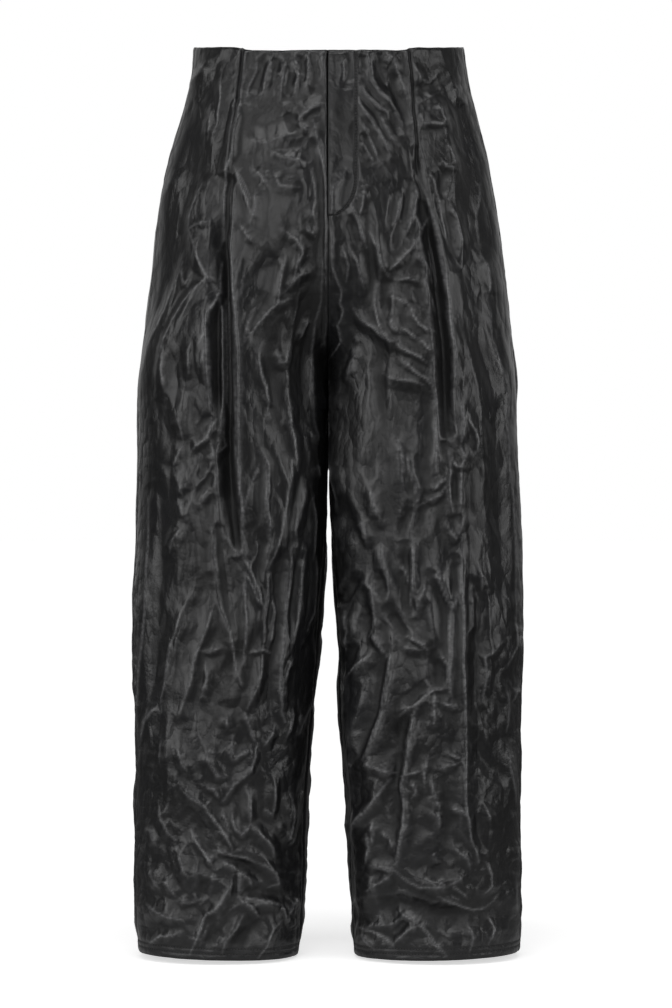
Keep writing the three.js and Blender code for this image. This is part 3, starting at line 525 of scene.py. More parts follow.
        (132, 267), (135, 283), (136, 306), (138, 323), (142, 339), (142, 373), (146, 390)),
    (-11.8, 6.5, 3.9, (108, 174), (115, 200), (119, 223), (122, 241), (124, 261), (125, 283), (128, 308),
        (131, 339), (132, 373), (132, 407), (134, 431)),
    (-4.1, 3.9, 3.2, (99, 115), (102, 132), (105, 151), (109, 171), (113, 189)),
    (2.5, 5.2, 3.9, (102, 157), (99, 171), (95, 188), (89, 205)),
    (-2.9, 3.9, 3.9, (92, 153), (89, 171), (86, 189), (83, 207)),
    (-2.7, 3.9, 3.9, (78, 167), (73, 187), (70, 203)),
    (-2.7, 3.9, 3.9, (79, 189), (78, 214), (77, 234)),
    (2.5, 3.9, 3.9, (82, 167), (78, 183), (74, 198)),
    (2.4, 5.2, 5.2, (98, 187), (100, 196), (106, 203), (115, 190)),
    (3, 6.5, 3.9, (100, 212), (95, 222), (86, 232), (78, 241), (68, 249)),
    (-2.5, 5.2, 5.2, (92, 216), (83, 227), (73, 237)),
    (2.9, 5.2, 6.5, (97, 225), (102, 236), (109, 243), (115, 252), (118, 263)),
    (2.4, 3.9, 5.2, (115, 227), (118, 241), (118, 256)),
    (3, 6.5, 5.2, (122, 160), (124, 178), (130, 199), (135, 221)),
    (-3.2, 5.2, 5.2, (125, 181), (133, 198), (138, 216), (142, 243)),
    (2.9, 6.5, 6.5, (133, 171), (142, 193), (148, 216), (146, 234)),
    (2.2, 5.2, 5.2, (114, 140), (120, 156), (123, 169)),
    # centre, viewer right
    (2.7, 5.2, 5.2, (20, 136), (13, 149), (6, 157), (4, 167), (5, 185)),
    (-3.4, 7.8, 6.5, (20, 138), (18, 166), (13, 185)),
    (2.9, 3.9, 5.2, (25, 175), (29, 186), (34, 196), (38, 211), (43, 225)),
    (2.2, 3.9, 3.9, (40, 160), (38, 178), (34, 192)),
    (-2.9, 3.9, 3.9, (27, 192), (32, 207), (36, 225)),
    (3.8, 5.2, 6.5, (3, 211), (7, 217), (3, 227), (2, 244), (7, 253), (11, 264), (15, 273), (13, 286), (17, 295),
        (15, 304), (11, 311), (15, 323), (16, 329), (11, 338), (4, 348), (3, 355)),
    (3.1, 3.9, 6.5, (3, 355), (4, 371), (6, 395), (8, 440), (10, 463), (13, 474), (12, 486), (15, 501),
        (15, 514)),
    (-4.1, 6.5, 5.2, (39, 178), (43, 198), (46, 222), (48, 248), (48, 274), (52, 301)),
    (3, 5.2, 5.2, (46, 206), (50, 216), (55, 225), (57, 237), (62, 249), (66, 256)),
    (2.3, 5.2, 5.2, (51, 270), (51, 288), (54, 304), (60, 317), (66, 325)),
    (-3, 5.2, 3.9, (63, 256), (64, 277), (64, 297)),
    (2.4, 5.2, 5.2, (26, 227), (32, 241), (36, 256), (40, 272)),
    (2.2, 5.2, 5.2, (17, 227), (22, 245), (20, 263)),
    (2.4, 6.5, 10.4, (67, 278), (79, 282), (92, 290)),
    (2.6, 5.2, 9.1, (90, 287), (95, 300), (102, 311), (111, 317), (120, 319)),
    (2.3, 5.2, 7.8, (68, 301), (74, 314), (81, 321)),
    (2.3, 5.2, 7.8, (82, 314), (91, 320), (101, 329)),
    (2.4, 5.2, 7.8, (102, 326), (110, 336), (118, 342)),
    (2.5, 6.5, 6.5, (27, 293), (38, 307), (50, 315), (59, 323), (70, 330), (78, 328)),
    (2.6, 5.2, 7.8, (78, 328), (82, 337), (91, 342), (102, 347), (110, 354)),
    (2.4, 5.2, 6.5, (81, 347), (89, 356), (97, 364), (107, 370), (115, 377), (120, 385)),
    (3.3, 5.2, 5.2, (120, 385), (121, 401), (120, 423), (122, 440), (120, 458), (122, 475)),
    (2.3, 6.5, 7.8, (60, 365), (69, 370), (82, 373), (95, 374), (107, 379)),
    (-2.5, 5.2, 5.2, (59, 332), (55, 360), (57, 386), (59, 407), (64, 422)),
    (-3.1, 6.5, 5.2, (113, 382), (113, 412), (114, 440), (110, 472)),
    (2, 3.9, 6.5, (78, 261), (89, 259), (102, 263)),
    (-2, 3.9, 3.9, (97, 265), (102, 279), (109, 288)),
    (2.4, 3.9, 3.9, (106, 256), (111, 272), (117, 283), (123, 297)),
    (2.7, 3.9, 5.2, (27, 333), (29, 347), (26, 357), (23, 371)),
    (3, 3.9, 5.2, (78, 440), (82, 454), (85, 469), (88, 486)),
    (3, 3.9, 5.2, (86, 451), (90, 472), (95, 489), (100, 507)),
    (-3.4, 3.4, 3.4, (86, 458), (89, 478), (94, 494), (98, 505)),
    (3, 6.5, 5.2, (49, 493), (52, 502), (54, 513), (60, 530)),
    (-3.3, 6.5, 6.5, (12, 496), (18, 514), (26, 530), (32, 542)),
    (2.7, 3.9, 5.2, (38, 529), (42, 541), (46, 554)),
    (3.2, 7.8, 5.2, (133, 448), (137, 459), (143, 469), (148, 470), (151, 458), (147, 447)),
    (-3.2, 5.2, 3.9, (126, 438), (133, 452), (141, 467)),
    (3.2, 5.2, 6.5, (146, 390), (148, 404), (150, 422), (147, 447)),
    (2.9, 5.2, 5.2, (148, 470), (148, 496), (148, 521)),
    (2.7, 3.9, 5.2, (135, 457), (136, 478), (136, 498), (138, 521)),
    (-3.7, 3.9, 3.9, (142, 476), (142, 494), (143, 514)),
    (2.7, 5.2, 6.5, (148, 404), (156, 419), (163, 430), (166, 441), (165, 452), (160, 458)),
    (-3.6, 3.9, 5.2, (110, 503), (104, 521), (101, 541)),
    (2.1, 3.9, 3.9, (99, 515), (114, 507), (126, 501), (132, 489)),
    (-2.9, 3.9, 3.9, (92, 514), (86, 530), (82, 545)),
    (2.5, 5.2, 5.2, (132, 480), (126, 487), (116, 498)),
    (2.5, 5.2, 5.2, (136, 539), (142, 550), (147, 539), (150, 528)),
    (3, 7.8, 9.1, (173, 234), (179, 248), (181, 265), (179, 281)),
    (3.8, 6.5, 9.1, (179, 281), (183, 297), (184, 326), (189, 340), (193, 357), (198, 375), (200, 395),
        (199, 418), (201, 442), (202, 474), (206, 507), (208, 552), (208, 597), (206, 642)),
    (-4, 10.4, 7.8, (171, 283), (175, 315), (181, 343), (189, 373), (192, 402), (194, 440), (195, 485),
        (198, 541), (198, 608)),
    (2.4, 5.2, 6.5, (172, 153), (171, 171), (167, 189), (170, 212)),
    # lower thigh, viewer right
    (-3.2, 3.9, 3.9, (13, 619), (21, 616), (27, 607), (34, 594)),
    (2.4, 5.2, 5.2, (61, 552), (60, 570), (66, 588), (69, 613)),
    (2.9, 5.2, 5.2, (43, 600), (51, 608), (53, 631), (53, 647), (48, 660)),
    (-3.3, 5.2, 3.9, (48, 633), (47, 657)),
    (3.2, 3.9, 5.2, (49, 654), (54, 662), (60, 672), (67, 683)),
    (-4, 3.9, 3.9, (69, 631), (76, 642), (81, 651), (88, 661)),
    (3.2, 3.9, 6.5, (88, 660), (97, 664), (106, 670), (111, 675)),
    (2.4, 5.2, 5.2, (85, 672), (94, 674), (105, 675)),
    (3.2, 3.9, 5.2, (94, 552), (95, 575), (94, 597), (92, 619), (95, 637)),
    (-3.9, 5.2, 3.9, (86, 558), (86, 577), (88, 599), (90, 619), (94, 642)),
    (2.7, 3.9, 3.9, (82, 580), (87, 591), (91, 604)),
    (3.7, 3.9, 6.5, (120, 587), (125, 600), (130, 614), (135, 625)),
    (2.7, 5.2, 5.2, (135, 625), (139, 627), (142, 619), (143, 610)),
    (-4.4, 6.5, 3.9, (117, 592), (123, 610), (128, 624), (131, 644), (130, 670)),
    (3, 3.9, 6.5, (136, 627), (135, 653), (136, 682), (134, 699), (135, 720), (137, 734)),
    (2.7, 3.9, 3.9, (126, 681), (134, 694)),
    (-3.4, 5.2, 5.2, (122, 681), (122, 704), (118, 722)),
    (3, 3.9, 7.8, (80, 749), (89, 741), (100, 735), (109, 726), (117, 720), (132, 717)),
    (-3.4, 5.2, 5.2, (85, 738), (95, 730), (104, 722), (115, 716)),
    (2.5, 5.2, 5.2, (118, 722), (118, 756)),
    (2.4, 3.9, 5.2, (126, 734), (136, 737), (144, 741)),
    (2.5, 5.2, 5.2, (107, 608), (101, 620), (99, 631)),
    (4.2, 3.9, 10.4, (73, 664), (70, 682), (66, 709), (63, 731), (61, 748), (55, 765), (51, 782), (46, 796)),
    (-4.5, 7.8, 5.2, (67, 681), (60, 715), (57, 738), (49, 767), (43, 793)),
    (-3.2, 7.8, 6.5, (26, 664), (24, 687), (21, 707)),
    (2.7, 7.8, 7.8, (49, 681), (38, 691), (29, 702)),
    (3.5, 3.9, 5.2, (149, 547), (148, 586), (150, 642), (148, 687), (150, 720), (151, 754), (151, 782)),
    (-3.6, 3.9, 3.9, (142, 575), (143, 597), (142, 615)),
    (2.9, 5.2, 5.2, (161, 608), (162, 626), (161, 648), (151, 659)),
    (-4.5, 6.5, 6.5, (164, 603), (166, 653), (166, 709), (164, 745)),
    (2.9, 5.2, 5.2, (192, 666), (181, 678), (174, 683), (176, 704), (172, 734)),
    (2.9, 6.5, 6.5, (206, 642), (207, 670), (201, 682), (197, 694)),
    (2.4, 5.2, 5.2, (212, 657), (210, 666), (214, 678)),
    (2.7, 5.2, 5.2, (197, 718), (200, 736), (199, 767)),
    (2.5, 5.2, 5.2, (210, 718), (204, 734)),
    (2.7, 6.5, 6.5, (24, 631), (27, 655), (24, 675)),
    (2.5, 6.5, 6.5, (170, 588), (172, 608)),
    (-2.7, 3.9, 3.9, (59, 592), (61, 613)),
    # shin, viewer right
    (4.2, 5.2, 6.5, (98, 740), (94, 756), (91, 771), (90, 785), (89, 801), (86, 813), (82, 827), (85, 843),
        (85, 864), (85, 877), (81, 895), (79, 911), (77, 922)),
    (-3.3, 5.2, 5.2, (86, 745), (82, 765), (86, 778)),
    (-3.7, 5.2, 5.2, (79, 801), (78, 819), (79, 843), (80, 868)),
    (3, 5.2, 7.8, (45, 796), (54, 804), (66, 810), (78, 813)),
    (2.7, 5.2, 6.5, (82, 816), (95, 813), (104, 810)),
    (3.2, 6.5, 5.2, (71, 819), (63, 832), (55, 846), (49, 855), (42, 862), (34, 874), (31, 881)),
    (-3.3, 5.2, 5.2, (74, 819), (68, 834), (73, 843)),
    (3.7, 3.9, 7.8, (54, 916), (67, 920), (77, 922)),
    (4, 15.6, 6.5, (77, 922), (85, 931), (92, 936), (102, 941), (119, 941), (135, 939)),
    (3, 6.5, 6.5, (135, 939), (142, 933), (150, 928)),
    (3, 10.4, 6.5, (48, 944), (57, 937), (66, 931), (73, 925)),
    (-4.4, 10.4, 7.8, (51, 951), (69, 943), (85, 937), (101, 948), (118, 956), (132, 962)),
    (-6.5, 10.4, 10.4, (38, 979), (55, 965), (79, 959), (102, 963), (125, 973), (147, 971), (170, 968),
        (194, 967)),
    (3.6, 10.4, 6.5, (123, 951), (137, 958), (150, 963), (164, 967), (176, 964), (186, 956)),
    (-2.9, 5.2, 5.2, (138, 943), (152, 953), (167, 956)),
    (2.9, 6.5, 6.5, (136, 937), (145, 944), (156, 953)),
    (3.2, 6.5, 6.5, (175, 912), (180, 927), (181, 939), (174, 948)),
    (3.8, 5.2, 5.2, (152, 771), (151, 810), (151, 843), (152, 857), (155, 871), (157, 886), (162, 897),
        (167, 912)),
    (-3.9, 6.5, 6.5, (129, 830), (132, 866), (132, 902)),
    (2.9, 3.9, 5.2, (137, 852), (147, 855), (153, 861)),
    (2.5, 5.2, 5.2, (123, 808), (133, 804), (145, 801)),
    (2.7, 5.2, 5.2, (114, 819), (119, 839), (125, 857)),
    (2.7, 5.2, 5.2, (136, 792), (145, 796), (150, 803)),
    (2.4, 3.9, 3.9, (110, 799), (107, 816), (109, 834)),
    (3, 5.2, 5.2, (200, 781), (202, 808), (206, 827), (209, 846)),
    (2.5, 5.2, 5.2, (216, 886), (210, 899), (213, 913)),
    (2.5, 5.2, 6.5, (209, 933), (208, 951), (211, 969)),
    (2.4, 3.9, 3.9, (116, 859), (123, 861), (125, 875)),
    (2.5, 5.2, 5.2, (94, 821), (99, 834), (94, 841)),
    (-2.7, 3.9, 3.9, (136, 877), (142, 888), (148, 895)),
    (2.5, 5.2, 5.2, (145, 902), (154, 908), (158, 920)),
    (-2.7, 5.2, 5.2, (97, 920), (111, 916), (120, 924), (136, 920)),
    (3.2, 6.5, 6.5, (34, 986), (49, 990), (63, 999), (72, 1007)),
    (-3.4, 5.2, 5.2, (42, 987), (58, 993), (69, 1000), (76, 1014)),
    (3, 5.2, 5.2, (39, 989), (44, 1000), (53, 1011)),
    (3, 5.2, 6.5, (79, 969), (86, 973), (94, 977), (102, 983)),
    (2.9, 5.2, 6.5, (102, 983), (89, 989), (76, 1000), (67, 1009)),
    (3.2, 5.2, 5.2, (102, 983), (111, 993), (120, 1005), (132, 1018)),
    (-3.4, 5.2, 5.2, (107, 983), (117, 996), (126, 1007)),
    (-2.9, 3.9, 3.9, (83, 974), (82, 983), (72, 997)),
    (2.7, 5.2, 6.5, (157, 982), (161, 998), (158, 1014)),
    (2.4, 5.2, 5.2, (181, 971), (184, 989), (179, 1005)),
    (2.5, 5.2, 5.2, (49, 880), (51, 895), (48, 913)),
    (2.2, 5.2, 5.2, (62, 879), (71, 886), (76, 899)),
    (-2.5, 5.2, 5.2, (165, 776), (174, 794), (183, 808), (192, 816)),
    (2.4, 5.2, 5.2, (174, 850), (179, 866)),
    (2.4, 3.9, 5.2, (53, 894), (55, 879), (53, 866)),
    (-7.1, 7.8, 5.2, (-15, 113), (-12, 143), (-10, 171), (-8, 205), (-8, 241), (-8, 283), (-7, 319)),
]
BACK_CREASES = [
    (4, 10, 10, (-18, 262), (-60, 290), (-96, 330)),
    (-4, 10, 10, (-30, 318), (-116, 352)),
    (4, 10, 10, (-26, 372), (-70, 392), (-104, 424)),
    (-3.5, 10, 10, (-160, 230), (-176, 420)),
    (4, 9, 9, (-128, 440), (-112, 500), (-96, 560)),
    (-4, 9, 9, (-60, 520), (-72, 660)),
    (4.5, 9, 9, (-150, 560), (-100, 640)),
    (-4.5, 9, 9, (-140, 618), (-92, 700)),
    (4, 9, 9, (-62, 700), (-90, 752), (-120, 780)),
    (-3.5, 9, 9, (-168, 720), (-172, 860)),
    (5, 9, 9, (-60, 872), (-100, 880), (-150, 900)),
    (-5, 9, 9, (-54, 908), (-146, 934)),
    (4.5, 9, 9, (-76, 950), (-168, 948)),
    (4, 10, 10, (16, 276), (104, 316)),
    (-4.5, 10, 10, (24, 330), (98, 372)),
    (3.5, 9, 9, (40, 392), (118, 410)),
    (-3.5, 10, 10, (168, 260), (158, 440)),
    (4, 9, 9, (92, 450), (110, 520), (122, 580)),
    (-4, 9, 9, (58, 560), (50, 690)),
    (4.5, 9, 9, (80, 604), (156, 652)),
    (-4.5, 9, 9, (86, 650), (150, 690)),
    (4, 9, 9, (130, 716), (96, 752), (76, 800)),
    (-3.5, 9, 9, (176, 740), (166, 880)),
    (5, 9, 9, (66, 852), (140, 888)),
    (-6, 9, 9, (70, 894), (158, 916)),
    (4.5, 9, 9, (48, 944), (128, 960)),
]
CREST, FLANK, WOBBLE = 0.8, 1.8, 0.5
END_HEIGHT, END_SHARE = 0.45, 0.25
# the line along a ridge's crest that gets a painted highlight: its width, and the ridge height at which it is full
LINE_WIDTH, LINE_FULL = 1.05, 3.2


def crease(px, pd, height, first, second, path):
    """One crease at points seen at (px, pd): which it reaches, its height there, and how near its line they are."""
    path = np.array(path, float)
    reach = 5 * max(first, second) + 3
    low, high = path.min(axis=0) - reach, path.max(axis=0) + reach
    inside = (px > low[0]) & (px < high[0]) & (pd > low[1]) & (pd < high[1])
    x, d = px[inside], pd[inside]
    steps = np.diff(path, axis=0)
    spans = np.hypot(steps[:, 0], steps[:, 1])
    start = np.concatenate([[0], np.cumsum(spans)])
    nearest, along, side = np.full(x.shape, 1e9), np.zeros(x.shape), np.zeros(x.shape)
    for i, (step, span) in enumerate(zip(steps, spans)):
        to_x, to_d = x - path[i, 0], d - path[i, 1]
        t = np.clip((to_x * step[0] + to_d * step[1]) / span**2, 0, 1)
        away = np.hypot(to_x - t * step[0], to_d - t * step[1])
        near = away < nearest
        side = np.where(near, (step[0] * to_d - step[1] * to_x) / (span * away + 1e-6), side)
        along = np.where(near, start[i] + t * span, along)
        nearest = np.where(near, away, nearest)
    width = mix(second, first, (side + 1) / 2)
    ends = mix(END_HEIGHT, 1, smooth(np.minimum(along, start[-1] - along) / (END_SHARE * start[-1])))
    crest = CREST if height > 0 else max(CREST, 0.4 * min(first, second))
    flank = np.clip(1 - (np.sqrt(nearest**2 + crest**2) - crest) / (FLANK * width), 0, 1)
    return inside, height * ends * flank, ends * np.exp(-((nearest / LINE_WIDTH) ** 2))


def by_hand(rows, px, pd, sign):
    """All the creases of one panel: ridges and troughs don't add up where they meet, the larger one wins."""
    ridge, trough, line = np.zeros(px.shape), np.zeros(px.shape), np.zeros(px.shape)
    wander_x = WOBBLE * (cloudy(px / 11 + 40, pd / 15, 71) - 0.5) * 2
    wander_d = WOBBLE * (cloudy(px / 13 + 40, pd / 12, 72) - 0.5) * 2
    for height, first, second, *path in rows:
        if path[0][0] * sign > 0:
            inside, value, near = crease(px + wander_x, pd + wander_d, height, first, second, path)
            if height > 0:
                ridge[inside] = np.maximum(ridge[inside], value)
                line[inside] = np.maximum(line[inside], near * min(1, height / LINE_FULL))
            else:
                trough[inside] = np.minimum(trough[inside], value)
    return ridge + trough, line


# %% [markdown]
# ## What the leather does
# Five things add up: the shared bend of the garment, the stitched tuck, the listed creases, three sizes of crumple,
# and the draw of the thread along a stitched edge. The crumple is long and narrow on the thigh, where the leather
# hangs straight, and rounder towards the hem, where it has sunk together. The back has no tucks. It takes the
# creases of the other front, turned round and moved down, so that it is crumpled in the same manner.
# %% Relief
# crumple: width and length of a cell of each size, and its depth above the knee and towards the hem
COARSE, MEDIUM, FINE = (46, 104), (22, 46), (11, 21)
COARSE_DEPTH, MEDIUM_DEPTH, FINE_DEPTH = (4.4, 5.6), (3.5, 4.4), (1.8, 1.9)
SAG_START, SAG_REACH, SAG_SPEED, WAIST_SPEED = 620, 280, 1.75, 1.1
HAND, LOW_START, LOW_REACH = 1.3, 640, 200
WAIST_CRUMPLED, HIP_CRUMPLED, SHIN_CRUMPLED, FLY_PANEL_CRUMPLED = 0.75, 0.85, 1.15, 0.2
# listed creases are deeper at the waist and the shin, and they and the crumple are pressed flatter at the hem
WAIST_HAND, SHIN_HAND, HEM_HAND, HEM_AUTO = 1.45, 1.2, 0.45, 0.35
# what a back takes from the fronts' tables and from its own
BACK_SHIFT, BACK_FROM, BACK_SPREAD = 34, 190, 1.06
BACK_TURNED, BACK_OWN = 0.85, 0.7
RELIEF_SEEDS = {"front_right": 100, "front_left": 200, "back_right": 300, "back_left": 400}
TOP_SEEN = 511.84
# seams and stitched edges: where they lie, and how deep and wide their grooves are
TUCK_END, TUCK_DEPTH = 118, 3.6
SEAM_GROOVE, SEAM_GROOVE_WIDTH = 1.3, 2.0
HEM_STITCHES = (7.3, 12.7)
HEM_GROOVE, HEM_GROOVE_WIDTH = 0.7, 1.4
FLY_EDGE, FLY_WIDTH, FLY_CURVE_START, FLY_LENGTH, FLY_TIP, FLY_TOP = -0.3, 32.5, 150, 196, 4, 2.4
FLY_STITCHES = (1.2, 3.4)
FLY_ZONE, FLY_PART, FLY_PART_COLUMNS = 190, 215, 60
FLY_GROOVE, FLY_GROOVE_WIDTH, LAP_GROOVE, LAP_LIFT = 1.5, 1.6, 3.0, 1.2


def sunk(drop):
    """Drop counted in cell lengths: cells get shorter towards the hem."""
    steps = np.linspace(0, LENGTH, 200)
    speed = mix(1.0, SAG_SPEED, smooth((steps - SAG_START) / SAG_REACH)) * mix(WAIST_SPEED, 1.0, smooth(steps / 200))
    return np.interp(drop, steps, np.concatenate([[0], np.cumsum(speed[1:] * np.diff(steps))]))


def crumple(across, drop, seed, size):
    """Hollows and ridges over the cloth, about 0 to 1."""
    wide, tall = size
    bend_u = 0.2 * wide * (cloudy(across / (1.3 * wide), drop / tall, seed + 11) - 0.5)
    bend_v = 0.2 * tall * (cloudy(across / wide, drop / tall, seed + 12) - 0.5)
    slant = 0.25 * drop * (noise(across / 150, drop / 260, seed + 13) - 0.5)
    return facets((across + bend_u + slant) / wide, (sunk(drop) + bend_v) / tall, seed)


def seen_from_front(points, sign):
    """Distance from the centre and drop, as the camera sees a point. TOP_SEEN puts drop 0 at the side's top edge."""
    nearer = CAMERA_AWAY / (CAMERA_AWAY + points[..., 1])
    px = CAMERA_ASIDE + (points[..., 0] * sign - CAMERA_ASIDE) * nearer
    pd = TOP_SEEN - (points[..., 2] - CAMERA_LOW) * nearer
    return px, pd


def tuck(across, drop):
    """The stitched tuck lies on a column of the grid: a sharp groove with a full lip towards the centre."""
    away = across - across[:, TUCK_COLUMN][:, None]
    strength = 1 - smooth((drop - TUCK_END) / 40)
    groove = -TUCK_DEPTH * np.exp(-((away / 1.5) ** 2))
    lip = 1.7 * np.exp(-(((away - 4) / 3) ** 2)) + 0.9 * np.exp(-(((away + 5) / 5) ** 2))
    return strength * (groove + lip)


def drawn_edge(along, away, seed):
    """Short uneven folds that stand across a seam, where thread has drawn the leather up."""
    ripple = cloudy(along / 9, away / 14, seed) - 0.5
    return 2.6 * ripple * smooth(away / 3) * np.exp(-away / 9)


def crumpled(face, side, to_inner, drop):
    """How crumpled the leather is: less near the waist, least on the fly, most below the knee."""
    amount = mix(WAIST_CRUMPLED, HIP_CRUMPLED, smooth((drop - 20) / 190))
    amount = amount * mix(1, SHIN_CRUMPLED, smooth((drop - 600) / 200))
    if (face, side) == ("front", "left"):
        under_fly = (1 - smooth((to_inner - 26) / 10)) * (1 - smooth((drop - 180) / 30))
        amount = amount * mix(1, FLY_PANEL_CRUMPLED, under_fly)
    return amount


def fly_reach(drop):
    """How far the fly reaches from the centre line: straight, then a quarter of an oval."""
    down = np.clip((drop - FLY_CURVE_START) / (FLY_LENGTH - FLY_CURVE_START), 0, 1)
    return FLY_TIP + (FLY_WIDTH - FLY_TIP) * (1 - down**2.2) ** 0.6


def from_stitching(x, drop):
    """Distance from the line between the two stitched rows of the fly."""
    down = np.linspace(0, FLY_LENGTH - 2.3, 300)
    to_x = x[..., None] - (fly_reach(down) - sum(FLY_STITCHES) / 2)
    return np.sqrt((to_x**2 + (drop[..., None] - down) ** 2).min(axis=-1))


def placed_creases(face, sign, grid, drop):
    """The listed creases on one panel, and how near each point is to a crease's line."""
    if face == "front":
        px, pd = seen_from_front(grid, sign)
        hand, line = by_hand(FRONT_CREASES, px, pd, sign)
        hand = hand + by_hand(BROAD_FORMS, px, pd, sign)[0]
        return HAND * hand * smooth(drop / 7), line * smooth(drop / 7)
    turned_x, turned_d = -grid[..., 0] * sign / BACK_SPREAD, drop - BACK_SHIFT
    hand, line = by_hand(FRONT_CREASES, turned_x, turned_d, -sign)
    hand = hand + by_hand(BROAD_FORMS, turned_x, turned_d, -sign)[0]
    fade = smooth((drop - BACK_FROM) / 60)
    own, own_line = by_hand(BACK_CREASES, grid[..., 0] * sign, drop, sign)
    return HAND * (BACK_TURNED * hand * fade + BACK_OWN * own), np.maximum(line * fade, own_line)


def three_crumples(across, drop, seed, low):
    """Coarse, medium and fine crumple together. low is 0 above the knee and 1 towards the hem."""
    patchy = smooth(2.2 * cloudy(across / 60, drop / 110, seed + 41) - 0.6)
    total = mix(*COARSE_DEPTH, low) * (crumple(across, drop, seed, COARSE) - 0.5)
    total += mix(*MEDIUM_DEPTH, low) * (crumple(across, drop, seed + 5, MEDIUM) - 0.5) * mix(0.5, 1.3, patchy)
    fine = mix(*FINE_DEPTH, low) * (crumple(across, drop, seed + 9, FINE) - 0.5)
    return total + fine * mix(1.35, 1, smooth(drop / 260))


def relief(face, side, grid, across, drop):
    """How far one panel's points move out, and how near each is to a crease's line."""
    sign = -1 if side == "right" else 1
    seed = RELIEF_SEEDS[f"{face}_{side}"]
    to_side, to_inner = across, across[:, -1:] - across
    low = smooth((drop - LOW_START) / LOW_REACH)
    hand, line = placed_creases(face, sign, grid, drop)
    near_edge = eased(to_side, 9) * eased(to_inner, 6) * eased(to_side, 45, 0.5) * eased(to_inner, 30, 0.6)
    hand = hand * near_edge * mix(WAIST_HAND, 1, smooth((drop - 80) / 120)) * mix(1, SHIN_HAND, low)
    hand = hand * mix(1, HEM_HAND, smooth((drop - (LENGTH - 24)) / 18))
    calm = eased(to_side, 80, 0.3) * eased(to_side, 12) * eased(to_inner, 35, 0.5) * eased(to_inner, 10)
    auto = three_crumples(across, drop, seed, low) * crumpled(face, side, to_inner, drop) * calm
    height = hand + auto * mix(1, HEM_AUTO, smooth((drop - (LENGTH - 36)) / 30))
    if face == "front":
        height += tuck(across, drop) * smooth(drop / 4)
    drawn = drawn_edge(across, drop, seed + 31) * 0.8 + drawn_edge(drop, to_side, seed + 51)
    height += drawn + drawn_edge(drop, to_inner, seed + 52)
    fly_zone = 1 - smooth((drop - FLY_ZONE) / 14) if face == "front" else 0.0
    side_seam, inner_seam = (SEAM_GROOVE * np.exp(-((away / SEAM_GROOVE_WIDTH) ** 2)) for away in (to_side, to_inner))
    height -= side_seam + inner_seam * (1 - fly_zone)
    if (face, side) == ("front", "left"):
        fly_rows_end = round(FLY_PART / LENGTH * (ROWS - 1))
        fly_part = np.s_[:fly_rows_end, COLUMNS - FLY_PART_COLUMNS:]
        sewn = from_stitching(grid[fly_part][..., 0], drop[fly_part])
        height[fly_part] -= FLY_GROOVE * np.exp(-((sewn / FLY_GROOVE_WIDTH) ** 2))
    if side == "right":
        height += fly_zone * (LAP_LIFT * np.exp(-to_inner / 9) - LAP_GROOVE * np.exp(-((to_inner / 1.5) ** 2)))
    for row in HEM_STITCHES:
        height -= HEM_GROOVE * np.exp(-(((LENGTH - drop - row) / HEM_GROOVE_WIDTH) ** 2))
    return height, line * near_edge


# %% [markdown]
# ## Closing the wall
# Leather has a thickness that shows at the top edge and the hem, and a render or a 3-D print needs a closed mesh.
# Blender's Solidify would do it, but the inside is never seen closely, so here it is a grid with a quarter of the
# rows and columns, joined to the outside all round by a narrow rim. It follows the lowest ground nearby, so no
# trough breaks through it.
# %% Closed mesh from two grids


def every_fourth(grid):
    """The rows and columns that the inner grid keeps. rim_faces joins four squares outside to one inside."""
    return grid[::4, ::4]


def numbered(rows, columns, start):
    return start + np.arange(rows * columns).reshape(rows, columns)


def rim_faces(outer, inner):
    """Triangles between a fine edge and an edge with a quarter as many points."""
    a, b, c, d, e = outer[:-4:4], outer[1:-3:4], outer[2:-2:4], outer[3:-1:4], outer[4::4]
    i, j = inner[:-1], inner[1:]
    fans = [(a, b, i), (b, c, i), (c, j, i), (c, d, j), (d, e, j)]
    return np.concatenate([np.stack(fan, 1) for fan in fans])


